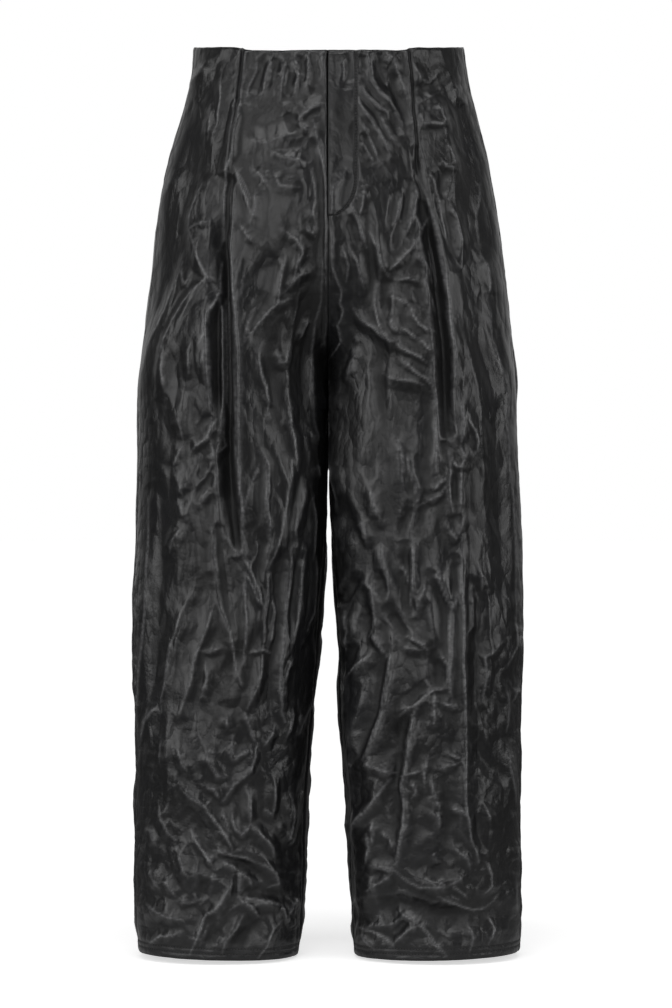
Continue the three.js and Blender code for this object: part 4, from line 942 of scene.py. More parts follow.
def closed_mesh(name, outer, inner, flip, marks):
    """A mesh from an outer grid and an inner one with every fourth row and column. marks are values per point."""
    rows, columns = outer.shape[:2]
    top, under = numbered(rows, columns, 0), numbered(*inner.shape[:2], rows * columns)
    quads = np.concatenate([
        np.stack([top[:-1, :-1], top[1:, :-1], top[1:, 1:], top[:-1, 1:]], -1).reshape(-1, 4),
        np.stack([under[:-1, :-1], under[:-1, 1:], under[1:, 1:], under[1:, :-1]], -1).reshape(-1, 4),
    ])
    rims = np.concatenate([
        rim_faces(top[0], under[0]),
        rim_faces(top[-1], under[-1])[:, ::-1],
        rim_faces(top[:, 0], under[:, 0])[:, ::-1],
        rim_faces(top[:, -1], under[:, -1]),
    ])
    if flip:
        quads, rims = quads[:, ::-1], rims[:, ::-1]
    points = np.concatenate([outer.reshape(-1, 3), inner.reshape(-1, 3)]) * MM
    mesh = bpy.data.meshes.new(name)
    mesh.vertices.add(len(points))
    mesh.vertices.foreach_set("co", points.ravel())
    corners = np.concatenate([quads.ravel(), rims.ravel()])
    starts = np.concatenate([np.arange(len(quads)) * 4, len(quads) * 4 + np.arange(len(rims)) * 3])
    mesh.loops.add(len(corners))
    mesh.loops.foreach_set("vertex_index", corners.astype(np.int32))
    mesh.polygons.add(len(starts))
    mesh.polygons.foreach_set("loop_start", starts.astype(np.int32))
    inside = np.zeros(len(starts), np.int32)
    inside[(rows - 1) * (columns - 1):len(quads)] = 1
    mesh.polygons.foreach_set("material_index", inside)
    mesh.polygons.foreach_set("use_smooth", np.ones(len(starts), bool))
    mesh.update(calc_edges=True)
    mesh.validate()
    for mark, values in marks.items():
        kind = "FLOAT_VECTOR" if values.ndim == 3 else "FLOAT"
        wide = 3 if values.ndim == 3 else 1
        both = np.concatenate([values.reshape(-1, wide), every_fourth(values).reshape(-1, wide)])
        mesh.attributes.new(mark, kind, "POINT").data.foreach_set("vector" if wide == 3 else "value", both.ravel())
    piece = bpy.data.objects.new(name, mesh)
    bpy.context.scene.collection.objects.link(piece)
    return piece


# %% [markdown]
# ## Where the leather is sharp
# The sharp crests are given a painted highlight and the grooves painted shade, both in the leather's colour. How
# sharply the surface bends is a difference between a height and the heights around it, so it is worked out from the
# grid and kept on the points as crest and groove, for the material to read.
# %% Crest and groove
FINE_BEND, WIDE_BEND = 0.6, 3.4
# weights of the painted highlight on crease lines and sharp crests, and of the painted shade in fine and wide grooves
LINE_PAINTED_HIGHLIGHT, BEND_PAINTED_HIGHLIGHT, FINE_PAINTED_SHADE, WIDE_PAINTED_SHADE = 0.9, 0.3, 0.6, 0.25


def blurred(values, times):
    """Each value is averaged with its four neighbours, as often as times says."""
    for _ in range(times):
        padded = np.pad(values, 1, mode="edge")
        values = (padded[:-2, 1:-1] + padded[2:, 1:-1] + padded[1:-1, :-2] + padded[1:-1, 2:] + 2 * values) / 6
    return values


def lowest(values, times):
    """The lowest value near each point."""
    for _ in range(times):
        padded = np.pad(values, 1, mode="edge")
        beside = [padded[:-2, 1:-1], padded[2:, 1:-1], padded[1:-1, :-2], padded[1:-1, 2:]]
        values = np.minimum(values, np.minimum.reduce(beside))
    return values


def bend_marks(height, line):
    """How far each point is a crest (for a painted highlight) or in a groove (for painted shade), from 0 to 1."""
    fine = (blurred(height, 1) - blurred(height, 8)) / FINE_BEND
    wide = (blurred(height, 10) - blurred(height, 80)) / WIDE_BEND
    crest = np.clip(LINE_PAINTED_HIGHLIGHT * line + BEND_PAINTED_HIGHLIGHT * np.clip(fine - 0.1, 0, 1), 0, 1)
    return crest, np.clip(-fine, 0, 1) * FINE_PAINTED_SHADE + np.clip(-wide, 0, 1) * WIDE_PAINTED_SHADE


# %% [markdown]
# ## The four panels
# Each panel is made on the +X side and mirrored for the wearer's right. The backs are made last and their edges are
# brought to the fronts', as sewing does. The top and hem edges are drawn in a little, so that the turned leather
# looks rolled and not cut. Just below the crotch the thighs rest against each other.
# %% Make the panels
SHARED_BEND, SEWN_COLUMNS = 1.7, 8
THIGHS_TOUCH = 2.6
TOUCH_DROPS = (340, 352, 368, 372, 388, 394, 402, 406, 430, 436, 462, 474)
TOUCH_SHARES = (0, 1, 1, 0.35, 0.35, 1, 1, 0.3, 0.3, 1, 1, 0)
EDGE_DRAWN = {0: 0.8, 1: 0.2, -1: 0.9, -2: 0.2}
SIDE_DRAWN, THIGH_REACH, LEG_GAP = 0.08, 14, 0.02
# painted shade along the hem's stitched grooves: its strength and its width
HEM_PAINTED_SHADE, HEM_PAINTED_SHADE_WIDTH = 0.8, 1.3
CLOTH_SEEDS = {"front_right": 0.0, "front_left": 1.7, "back_right": 3.1, "back_left": 4.9}
panels = {}


def touching(drop):
    """Where the thighs rest against each other below the crotch, with small openings between."""
    return smooth(np.interp(drop, TOUCH_DROPS, TOUCH_SHARES))


def wall_at(drop):
    """How thick the leather is: double where it is turned under."""
    return np.where((drop <= TOP_TURN) | (drop >= LENGTH - HEM_TURN), TURNED_WALL, WALL)


def sew_on(skin, front, drop):
    """Bring a back's edges to the front's, so that no light shows through a seam."""
    ease = (1 - np.arange(SEWN_COLUMNS) / SEWN_COLUMNS) ** 2
    skin[:, :SEWN_COLUMNS] += (front[:, 0] - skin[:, 0])[:, None] * ease[:, None]
    legs = drop > CROTCH_DROP
    skin[legs, -SEWN_COLUMNS:] += (front[:, -1] - skin[:, -1])[legs][:, None] * ease[::-1, None]


def make_panel(face, side):
    """Lay, crease, sew and close one panel, and keep what the fly, the zip and the thread need of it."""
    grid, across, drop = plain_grid(face, side)
    normal, mirror = outward(grid, face), np.array((-1, 1, 1) if side == "right" else (1, 1, 1))
    bend = SHARED_BEND * waves(grid * mirror, seed=7, count=14, shortest=90, longest=260)
    height, line = relief(face, side, grid, across, drop)
    skin = grid + normal * (height + bend)[..., None]
    for edge, beside in ((0, 1), (-1, -2)):
        skin[:, edge] += (skin[:, beside] - skin[:, edge]) * SIDE_DRAWN
    final = outward(skin, face)
    for edge, drawn in EDGE_DRAWN.items():
        skin[edge] -= final[edge] * drawn
    closing = THIGHS_TOUCH * touching(drop) * np.exp(-skin[..., 0] / THIGH_REACH)
    skin[..., 0] = np.maximum(skin[..., 0] - closing, LEG_GAP)
    skin[drop[:, 0] <= CROTCH_DROP, -1, 0] = 0
    if face == "back":
        sew_on(skin, panels[f"front_{side}"]["skin"], drop[:, 0])
    soft = np.stack([blurred(final[..., k], 3) for k in range(3)], -1)
    below = blurred(height - lowest(height, 4), 3) * smooth(drop / 20) * smooth((LENGTH - drop) / 40)
    inner = every_fourth(skin - soft * (wall_at(drop) + below)[..., None])
    inner[..., 0] = np.maximum(inner[..., 0], 0)
    # crest sets a painted highlight and groove sets painted shade; the hem's stitched rows get painted shade too
    crest, groove = bend_marks(height, line)
    sewn = sum(np.exp(-(((LENGTH - drop - row) / HEM_PAINTED_SHADE_WIDTH) ** 2)) for row in HEM_STITCHES)
    groove = np.clip(groove + HEM_PAINTED_SHADE * sewn, 0, 1)
    seed = CLOTH_SEEDS[f"{face}_{side}"]
    cloth = np.stack([across * MM + seed, drop * MM, np.full(across.shape, seed)], -1)
    rough = crumpled(face, side, across[:, -1:] - across, drop)
    marks = {"crest": crest, "groove": groove, "cloth": cloth, "sunk": sunk(drop) * MM, "rough": rough}
    name = f"leather_{face}_{side}"
    flip = (face == "back") != (side == "right")
    piece = closed_mesh(name, skin * mirror, inner * mirror, flip, marks)
    panels[f"{face}_{side}"] = {
        "piece": piece, "skin": skin, "normal": final, "across": across, "mirror": mirror,
        "crest": crest, "groove": groove, "seed": seed,
    }
    print(name, "height", round(float((height + bend).min()), 1), "to", round(float((height + bend).max()), 1))


for face_name in ("front", "back"):
    for side_name in ("right", "left"):
        make_panel(face_name, side_name)

# %% [markdown]
# ## The fly
# The lap of the fly lies on the wearer's left front. It is a second layer of the same leather, so it takes the shape
# of the panel under it, a little higher. Its lap edge is a folded edge that casts a line of shadow, and a line of
# painted shadow is laid along it in the colour. The other side ends in a J and is stitched flat. It thins out to
# almost nothing, the stitches lie in a shallow groove, and the stitched rows are darkened with painted shade.
# %% Make the fly
FLY_ROWS, FLY_COLUMNS = 201, 41
FLY_LIFT, FLY_FOLDED, FLY_FLAT, FLY_CRUMPLED = 0.2, 1.5, 0.35, 0.15


def on_panel(name, kind, x, drop):
    """Read one of a panel's grids at given distances from the centre and drops."""
    part = panels[name]
    values = np.atleast_3d(part[kind])
    row = np.clip(np.asarray(drop) / LENGTH * (ROWS - 1), 0, ROWS - 1.001)
    found = []
    for r in (np.floor(row).astype(int), np.floor(row).astype(int) + 1):
        line = np.empty(x.shape + (values.shape[2],))
        for i in range(len(x)):
            places = np.maximum.accumulate(part["skin"][r[i, 0], ::-1, 0])
            for k in range(values.shape[2]):
                line[i, :, k] = np.interp(x[i], places, values[r[i, 0], ::-1, k])
        found.append(line)
    share = (row - np.floor(row))[..., None]
    return mix(found[0], found[1], share)


def raised(name, x, drop, lift):
    """Points over a panel at x and drop, lifted along its normal."""
    point, normal = on_panel(name, "skin", x, drop), on_panel(name, "normal", x, drop)
    normal = np.stack([blurred(normal[..., k], 3) for k in range(3)], -1)
    normal[..., 0] *= smooth((x - FLY_EDGE) / 6)
    normal[..., 2] *= smooth((drop - 4) / 14)
    normal /= np.linalg.norm(normal, axis=2, keepdims=True)
    point[..., 0] = x
    return point + normal * np.asarray(lift)[..., None]


def fly_height(x, drop):
    """How high the fly stands over the panel: folded along its lap edge, thin where it is stitched and at the ends."""
    folded = mix(FLY_FOLDED, FLY_FLAT, smooth((x - 3) / 16))
    ends = smooth((drop - FLY_TOP + 0.6) / 2.5) * smooth((FLY_LENGTH - drop + 1.2) / 3)
    return FLY_LIFT + np.maximum(FLY_FLAT, folded * (ends * smooth((x - FLY_EDGE + 0.3) / 0.5)))


def make_fly():
    drop = np.broadcast_to(np.linspace(FLY_TOP, FLY_LENGTH, FLY_ROWS)[:, None], (FLY_ROWS, FLY_COLUMNS))
    share = np.linspace(1, 0, FLY_COLUMNS)[None, :]
    x = FLY_EDGE + (fly_reach(drop) - FLY_EDGE) * (share - 0.09 * np.sin(2 * np.pi * share))
    outer = raised("front_left", x, drop, fly_height(x, drop))
    inner = every_fourth(raised("front_left", x, drop, np.full(x.shape, FLY_LIFT)))
    # painted shade on the stitched rows and a painted shadow along the lap edge, added to the groove mark
    sewn = sum(np.exp(-(((fly_reach(drop) - x - inset) / 0.8) ** 2)) for inset in FLY_STITCHES)
    dark = sewn + np.exp(-(((x - FLY_EDGE) / 1.0) ** 2))
    crest, groove, across = (on_panel("front_left", kind, x, drop)[..., 0] for kind in ("crest", "groove", "across"))
    seed = panels["front_left"]["seed"]
    marks = {
        "crest": crest,
        "groove": np.clip(groove + dark, 0, 1),
        "cloth": np.stack([across * MM + seed, drop * MM, np.full(x.shape, seed)], -1),
        "sunk": sunk(drop) * MM,
        "rough": np.full(x.shape, FLY_CRUMPLED),
    }
    piece = closed_mesh("leather_fly", outer, inner, False, marks)
    area = float((fly_reach(drop[:, 0]) - FLY_EDGE).mean() * (FLY_LENGTH - FLY_TOP)) * MM * MM
    print("fly", FLY_ROWS, "x", FLY_COLUMNS, "area", round(area, 5), "m2")
    return piece, area


FLY, FLY_AREA = make_fly()

# %% [markdown]
# ## The zip
# The zip is closed and wholly behind the fly, so it is seen only from above and inside. It is still made as a zip is:
# a woven tape, a coil of teeth that mesh along the middle, and a slider with its tab turned down at the top. It
# hangs behind both fronts, clear of them.
# %% Make the zip
ZIP_TOP, ZIP_END, ZIP_EDGE, ZIP_WIDTH, ZIP_TAPE = 14, 188, -9, 30, 0.9
ZIP_BEHIND, TOOTH_PITCH, TEETH_FROM, TEETH_SHORT = 4.2, 2.0, 10, 14
ZIP_ROWS, ZIP_COLUMNS = 121, 33


def behind_fronts(x, drop, behind):
    """Points behind the two fronts at x and drop."""
    left, right = (on_panel(name, "skin", np.abs(x), drop) for name in ("front_left", "front_right"))
    y, z = (blurred(np.where(x < 0, right[..., k], left[..., k]), 12) for k in (1, 2))
    return np.stack([x, y + behind, z], -1)


def box_mesh(name, boxes, bevel):
    """Many small blocks in one mesh, each given as centre and size, with soft edges."""
    corner = np.array([(a, b, c) for a in (-1, 1) for b in (-1, 1) for c in (-1, 1)], float) / 2
    faces = np.array([(0, 1, 3, 2), (4, 6, 7, 5), (0, 4, 5, 1), (2, 3, 7, 6), (0, 2, 6, 4), (1, 5, 7, 3)])
    points, quads = [], []
    for centre, size in boxes:
        quads.append(faces + 8 * len(points))
        points.append(corner * size + centre)
    mesh = bpy.data.meshes.new(name)
    mesh.from_pydata((np.concatenate(points) * MM).tolist(), [], np.concatenate(quads).tolist())
    piece = bpy.data.objects.new(name, mesh)
    bpy.context.scene.collection.objects.link(piece)
    rounded = piece.modifiers.new("Soft edges", "BEVEL")
    rounded.width, rounded.segments = bevel * MM, 2
    return piece


def make_zip():
    drop = np.broadcast_to(np.linspace(ZIP_TOP, ZIP_END, ZIP_ROWS)[:, None], (ZIP_ROWS, ZIP_COLUMNS))
    x = np.broadcast_to(np.linspace(ZIP_EDGE + ZIP_WIDTH, ZIP_EDGE, ZIP_COLUMNS)[None, :], (ZIP_ROWS, ZIP_COLUMNS))
    middle = ZIP_EDGE + ZIP_WIDTH / 2
    outer = behind_fronts(x, drop, ZIP_BEHIND - ZIP_TAPE / 2)
    inner = every_fourth(behind_fronts(x, drop, ZIP_BEHIND + ZIP_TAPE / 2))
    cloth = np.stack([x * MM, drop * MM, np.zeros(x.shape)], -1)
    tape = closed_mesh("zip_tape", outer, inner, False, {"cloth": cloth})
    count = int((ZIP_END - ZIP_TOP - TEETH_SHORT) / TOOTH_PITCH)
    at = ZIP_TOP + TEETH_FROM + TOOTH_PITCH * np.arange(count)[:, None]
    line = behind_fronts(np.full((count, 3), float(middle)), np.broadcast_to(at, (count, 3)), ZIP_BEHIND)[:, 1]
    boxes = []
    for i, point in enumerate(line):
        hand = 1 if i % 2 else -1
        boxes.append((point + (hand * 1.0, 0, 0), (3.4, 2.0, 1.15)))
        boxes.append((point + (hand * -0.5, 0, 0), (0.9, 2.2, 1.5)))
    teeth = box_mesh("zip_teeth", boxes, 0.25)
    top = line[0]
    body, bridge = (top + (0, 0, 4.6), (6.4, 3.6, 8.0)), (top + (0, 1.9, 4.0), (2.0, 1.6, 5.0))
    tab = (top + (0, 3.2, -3.2), (3.0, 0.9, 14.0))
    slider = box_mesh("zip_slider", [body, bridge, tab], 0.5)
    print("zip teeth", len(boxes))
    return tape, teeth, slider


ZIP_TAPE_PIECE, ZIP_TEETH, ZIP_SLIDER = make_zip()

# %% [markdown]
# ## Thread
# The stitches that show are two rows round the fly and two rows above each hem. A stitch is a short piece of thread
# that dips into the leather at both ends, so each one is a small bent tube, and a whole row is one mesh.
# %% Make the stitches
STITCH, STITCH_GAP, THREAD = 2.7, 0.8, 0.26
SHARES, DIPS = np.array([0.0, 0.18, 0.5, 0.82, 1.0]), np.array([-0.28, 0.1, 0.2, 0.1, -0.28])
SWELLS = np.array([0.35, 1, 1.1, 1, 0.35])
RINGS, SIDES = len(SHARES), 6
STITCH_POINTS = RINGS * SIDES


def stitches(name, rows):
    """rows is a list of (points, normals) along which to sew."""
    ring = np.linspace(0, 2 * np.pi, SIDES + 1)[:-1]
    places, quads, count = [], [], 0
    for points, normals in rows:
        length = np.concatenate([[0], np.cumsum(np.linalg.norm(np.diff(points, axis=0), axis=1))])
        starts = np.arange(1.5, length[-1] - STITCH, STITCH + STITCH_GAP)
        at = starts[:, None] + SHARES * STITCH
        read_at = lambda values, where: np.stack([np.interp(where, length, values[:, k]) for k in range(3)], -1)
        centre, up = read_at(points, at), read_at(normals, at)
        ahead = read_at(points, at + 0.4) - read_at(points, at - 0.4)
        ahead /= np.linalg.norm(ahead, axis=2, keepdims=True) + 1e-9
        beside = np.cross(ahead, up)
        centre = centre + up * DIPS[:, None]
        around = beside[:, :, None] * np.cos(ring)[:, None] + up[:, :, None] * np.sin(ring)[:, None]
        places.append((centre[:, :, None] + around * (THREAD * SWELLS)[:, None, None]).reshape(-1, 3))
        for k in range(len(starts)):
            base = count + k * STITCH_POINTS
            for here in range(base, base + STITCH_POINTS - SIDES, SIDES):
                there = here + SIDES
                for b in range(SIDES):
                    quads.append((here + b, here + (b + 1) % SIDES, there + (b + 1) % SIDES, there + b))
            quads.append(tuple(base + np.arange(SIDES - 1, -1, -1)))
            quads.append(tuple(base + STITCH_POINTS - SIDES + np.arange(SIDES)))
        count += STITCH_POINTS * len(starts)
    mesh = bpy.data.meshes.new(name)
    mesh.from_pydata((np.concatenate(places) * MM).tolist(), [], [tuple(int(v) for v in q) for q in quads])
    mesh.polygons.foreach_set("use_smooth", np.ones(len(quads), bool))
    piece = bpy.data.objects.new(name, mesh)
    bpy.context.scene.collection.objects.link(piece)
    print(name, count // STITCH_POINTS, "stitches")
    return piece


def fly_rows():
    rows = []
    for inset in FLY_STITCHES:
        drop = np.linspace(FLY_TOP + 3, FLY_LENGTH, 400)
        edge = np.stack([fly_reach(drop), drop], -1)
        ahead = np.gradient(edge, axis=0)
        ahead /= np.linalg.norm(ahead, axis=1, keepdims=True)
        line = edge + inset * np.stack([-ahead[:, 1], ahead[:, 0]], -1)
        line = line[(line[:, 0] > FLY_EDGE + 1.5) & (line[:, 1] < FLY_LENGTH - inset + 0.2)]
        x, d = line[:, :1], line[:, 1:]
        normal = on_panel("front_left", "normal", x, d)[:, 0]
        point = on_panel("front_left", "skin", x, d)[:, 0] * (0, 1, 1) + x * (1, 0, 0)
        rows.append((point + normal * fly_height(x, d), normal))
    return rows


def hem_rows(side):
    rows = []
    for face in ("front", "back"):
        part = panels[f"{face}_{side}"]
        for above in HEM_STITCHES:
            row = (LENGTH - above) / LENGTH * (ROWS - 1)
            low, share = int(row), row - int(row)
            points = mix(part["skin"][low], part["skin"][low + 1], share)[2:-2]
            normals = part["normal"][low][2:-2]
            rows.append((points * part["mirror"] + normals * part["mirror"] * 0.12, normals * part["mirror"]))
    return rows


THREADS = {"thread_fly": stitches("thread_fly", fly_rows())}
for side_name in ("right", "left"):
    THREADS[f"thread_hem_{side_name}"] = stitches(f"thread_hem_{side_name}", hem_rows(side_name))

# %% [markdown]
# ## Leather as a material
# Black leather is nearly black, and almost all that shows is its gloss. So the colour stays very dark with only a
# little blue in some places, and the detail goes into roughness and bump: three sizes of crumple too small for the
# mesh, and the grain of the hide. The colour also carries a painted highlight on sharp crests and painted shade in
# grooves. Crumple, grain, and the painted light with the leather's tone, are node groups, built once and set by
# their inputs.
# %% Node helpers


def group(name, inputs, outputs):
    tree = bpy.data.node_groups.new(name, "ShaderNodeTree")
    for label, kind, value in inputs:
        socket = tree.interface.new_socket(name=label, in_out="INPUT", socket_type=kind)
        if value is not None:
            socket.default_value = value
    for label, kind in outputs:
        tree.interface.new_socket(name=label, in_out="OUTPUT", socket_type=kind)
    return tree, tree.nodes.new("NodeGroupInput"), tree.nodes.new("NodeGroupOutput")


def connect(tree, made, links):
    """Link each input of a node to a socket, or give it a value."""
    for place, value in links.items():
        if isinstance(value, bpy.types.NodeSocket):
            tree.links.new(value, made.inputs[place])
        else:
            made.inputs[place].default_value = value


def node(tree, kind, links=None, **settings):
    """A node with its settings, and its inputs linked or given a value."""
    made = tree.nodes.new(kind)
    for name, value in settings.items():
        setattr(made, name, value)
    connect(tree, made, links or {})
    return made


def maths(tree, operation, a, b):
    return node(tree, "ShaderNodeMath", {0: a, 1: b}, operation=operation).outputs[0]


def between(tree, value, low, high, to_low=0.0, to_high=1.0):
    links = {"Value": value, "From Min": low, "From Max": high, "To Min": to_low, "To Max": to_high}
    return node(tree, "ShaderNodeMapRange", links).outputs["Result"]


def blend(tree, share, a, b):
    """A colour between a and b. Inputs 6 and 7 and output 2 of the node are its colours."""
    mixed = node(tree, "ShaderNodeMix", {"Factor": share}, data_type="RGBA")
    connect(tree, mixed, {6: a, 7: b})
    return mixed.outputs[2]


def new_material(name):
    material = bpy.data.materials.new(name)
    material.use_nodes = True
    return material, material.node_tree, material.node_tree.nodes["Principled BSDF"]


# %% Crumple group
VECTOR, FLOAT = "NodeSocketVector", "NodeSocketFloat"


def crumple_group():
    """Hollows that meet in ridges, drawn out along the drop and stronger in some places, as height from 0 to 1."""
    inputs = [("Cloth", VECTOR, None), ("Width", FLOAT, 0.01), ("Length", FLOAT, 2.2), ("Warp", FLOAT, 0.4)]
    tree, given, out = group("Crumple", [*inputs, ("Amount", FLOAT, 1.0)], [("Height", FLOAT)])
    per_unit = maths(tree, "DIVIDE", 1.0, given.outputs["Width"])
    scaled = node(tree, "ShaderNodeVectorMath", {0: given.outputs["Cloth"], "Scale": per_unit}, operation="SCALE")
    parts = node(tree, "ShaderNodeSeparateXYZ", {0: scaled.outputs[0]})
    tall = maths(tree, "DIVIDE", parts.outputs[1], given.outputs["Length"])
    place = node(tree, "ShaderNodeCombineXYZ", {0: parts.outputs[0], 1: tall, 2: parts.outputs[2]})
    wander = node(tree, "ShaderNodeTexNoise", {"Vector": place.outputs[0], "Scale": 0.8, "Detail": 2.0})
    even = {0: wander.outputs["Color"], 1: (0.5, 0.5, 0.5)}
    centred = node(tree, "ShaderNodeVectorMath", even, operation="SUBTRACT")
    further = {0: centred.outputs[0], "Scale": given.outputs["Warp"]}
    pushed = node(tree, "ShaderNodeVectorMath", further, operation="SCALE")
    moved = node(tree, "ShaderNodeVectorMath", {0: place.outputs[0], 1: pushed.outputs[0]}, operation="ADD")
    cells = node(tree, "ShaderNodeTexVoronoi", {"Vector": moved.outputs[0], "Scale": 1.0}, voronoi_dimensions="2D")
    hollow = maths(tree, "POWER", cells.outputs["Distance"], 1.5)
    patch = node(tree, "ShaderNodeTexNoise", {"Vector": place.outputs[0], "Scale": 0.22, "Detail": 1.0})
    share = between(tree, patch.outputs["Fac"], 0.38, 0.6, 0.15, 1.0)
    strong = maths(tree, "MULTIPLY", share, given.outputs["Amount"])
    tree.links.new(maths(tree, "MULTIPLY", hollow, strong), out.inputs["Height"])
    return tree


def grain_group():
    """The pebbled grain of a hide, with pores, as height from 0 to 1."""
    inputs = [("Cloth", VECTOR, None), ("Width", FLOAT, 0.0011)]
    tree, given, out = group("Hide grain", inputs, [("Height", FLOAT)])
    per_unit = maths(tree, "DIVIDE", 1.0, given.outputs["Width"])
    scaled = node(tree, "ShaderNodeVectorMath", {0: given.outputs["Cloth"], "Scale": per_unit}, operation="SCALE")
    pebbles = node(tree, "ShaderNodeTexVoronoi", {"Vector": scaled.outputs[0], "Scale": 1.0}, voronoi_dimensions="2D")
    pores = node(tree, "ShaderNodeTexNoise", {"Vector": scaled.outputs[0], "Scale": 1.7, "Detail": 2.0})
    rise = maths(tree, "MULTIPLY", pores.outputs["Fac"], 0.5)
    fall = maths(tree, "MULTIPLY", pebbles.outputs["Distance"], 0.8)
    total = maths(tree, "SUBTRACT", rise, fall)
    tree.links.new(total, out.inputs["Height"])
    return tree


def light_and_tone_group():
    """Painted light and the leather's own tone: a painted highlight on crests, broken up by noise, painted shade in
    grooves, and slow patches of tone.
    """
    inputs = [("Cloth", VECTOR, None), ("Crest", FLOAT, 0.0), ("Groove", FLOAT, 0.0), ("Patch size", FLOAT, 0.09)]
    tree, given, out = group("Painted light and leather tone", inputs, [("Painted highlight", FLOAT), ("Painted shade", FLOAT), ("Patch", FLOAT)])
    per_unit = maths(tree, "DIVIDE", 1.0, given.outputs["Patch size"])
    patch = node(tree, "ShaderNodeTexNoise", {"Vector": given.outputs["Cloth"], "Scale": per_unit, "Detail": 4.0})
    # noise that breaks up the painted highlight along the crests
    broken = node(tree, "ShaderNodeTexNoise", {"Vector": given.outputs["Cloth"], "Scale": 240.0, "Detail": 3.0})
    highlight_breakup = between(tree, broken.outputs["Fac"], 0.35, 0.65, 0.35, 1.0)
    tree.links.new(maths(tree, "MULTIPLY", given.outputs["Crest"], highlight_breakup), out.inputs["Painted highlight"])
    tree.links.new(given.outputs["Groove"], out.inputs["Painted shade"])
    tree.links.new(between(tree, patch.outputs["Fac"], 0.3, 0.7), out.inputs["Patch"])
    return tree


CRUMPLE, GRAIN, LIGHT_AND_TONE = crumple_group(), grain_group(), light_and_tone_group()


# %% Leather material
def placed(tree, shared, links):
    made = tree.nodes.new("ShaderNodeGroup")
    made.node_tree = shared
    connect(tree, made, links)
    return made


def leather_material():
    material, tree, shader = new_material("black_leather")
    mark = lambda name, kind: node(tree, "ShaderNodeAttribute", attribute_name=name).outputs[kind]
    cloth, crest, groove = mark("cloth", "Vector"), mark("crest", "Fac"), mark("groove", "Fac")
    light_and_tone = placed(tree, LIGHT_AND_TONE, {"Cloth": cloth, "Crest": crest, "Groove": groove, "Patch size": 0.09})
    plain = blend(tree, light_and_tone.outputs["Patch"], (0.0050, 0.0049, 0.0049, 1), (0.0085, 0.0087, 0.0096, 1))
    # painted shade: the colour goes almost black in the grooves
    dark = blend(tree, light_and_tone.outputs["Painted shade"], plain, (0.002, 0.002, 0.0022, 1))
    # painted highlight: a pale grey on sharp crests and crease lines
    colour = blend(tree, light_and_tone.outputs["Painted highlight"], dark, (0.14, 0.14, 0.143, 1))
    tree.links.new(colour, shader.inputs["Base Color"])
    rough = between(tree, light_and_tone.outputs["Patch"], 0.0, 1.0, 0.36, 0.28)
    rough = maths(tree, "ADD", rough, maths(tree, "MULTIPLY", light_and_tone.outputs["Painted shade"], 0.45))
    tree.links.new(rough, shader.inputs["Roughness"])
    parts = node(tree, "ShaderNodeSeparateXYZ", {0: cloth})
    sunk_place = {0: parts.outputs[0], 1: mark("sunk", "Fac"), 2: parts.outputs[2]}
    fallen = node(tree, "ShaderNodeCombineXYZ", sunk_place).outputs[0]
    amount = mark("rough", "Fac")
    large = placed(tree, CRUMPLE, {"Cloth": fallen, "Width": 0.021, "Length": 1.9, "Warp": 0.35, "Amount": amount})
    middle = placed(tree, CRUMPLE, {"Cloth": fallen, "Width": 0.0095, "Length": 1.8, "Warp": 0.35, "Amount": amount})
    small = placed(tree, CRUMPLE, {"Cloth": fallen, "Width": 0.0036, "Length": 1.4, "Warp": 0.4, "Amount": 0.8})
    grain = placed(tree, GRAIN, {"Cloth": cloth, "Width": 0.0011})
    normal = None
    bumps = ((large, 0.8, 0.0024), (middle, 0.8, 0.0012), (small, 0.6, 0.00035), (grain, 0.5, 0.00014))
    for source, strength, distance in bumps:
        links = {"Height": source.outputs["Height"], "Strength": strength, "Distance": distance}
        bump = node(tree, "ShaderNodeBump", links)
        if normal:
            tree.links.new(normal, bump.inputs["Normal"])
        normal = bump.outputs["Normal"]
    tree.links.new(normal, shader.inputs["Normal"])
    shader.inputs["Specular IOR Level"].default_value = 0.5
    shader.inputs["IOR"].default_value = 1.5
    return material


def backing_material():
    material, tree, shader = new_material("knitted_backing")
    cloth = node(tree, "ShaderNodeAttribute", attribute_name="cloth").outputs["Vector"]
    rib = node(tree, "ShaderNodeTexWave", {"Vector": cloth, "Scale": 260.0, "Distortion": 1.5}, bands_direction="X")
    fuzz = node(tree, "ShaderNodeTexNoise", {"Vector": cloth, "Scale": 900.0, "Detail": 3.0})
    colour = blend(tree, rib.outputs["Fac"], (0.018, 0.018, 0.019, 1), (0.035, 0.035, 0.036, 1))
    tree.links.new(colour, shader.inputs["Base Color"])
    tree.links.new(between(tree, fuzz.outputs["Fac"], 0.3, 0.7, 0.82, 0.95), shader.inputs["Roughness"])
    bump = node(tree, "ShaderNodeBump", {"Height": rib.outputs["Fac"], "Strength": 0.5, "Distance": 0.0003})
    tree.links.new(bump.outputs["Normal"], shader.inputs["Normal"])
    shader.inputs["Sheen Weight"].default_value = 0.2
    return material


def thread_material():
    material, tree, shader = new_material("black_thread")
    place = node(tree, "ShaderNodeTexCoord").outputs["Object"]
    twist = node(tree, "ShaderNodeTexWave", {"Vector": place, "Scale": 1400.0}, bands_direction="DIAGONAL")
    tone = node(tree, "ShaderNodeTexNoise", {"Vector": place, "Scale": 90.0, "Detail": 2.0})
    colour = blend(tree, tone.outputs["Fac"], (0.012, 0.012, 0.013, 1), (0.03, 0.03, 0.032, 1))
    tree.links.new(colour, shader.inputs["Base Color"])
    tree.links.new(between(tree, twist.outputs["Fac"], 0.0, 1.0, 0.38, 0.6), shader.inputs["Roughness"])
    bump = node(tree, "ShaderNodeBump", {"Height": twist.outputs["Fac"], "Strength": 0.6, "Distance": 0.00006})
    tree.links.new(bump.outputs["Normal"], shader.inputs["Normal"])
    return material


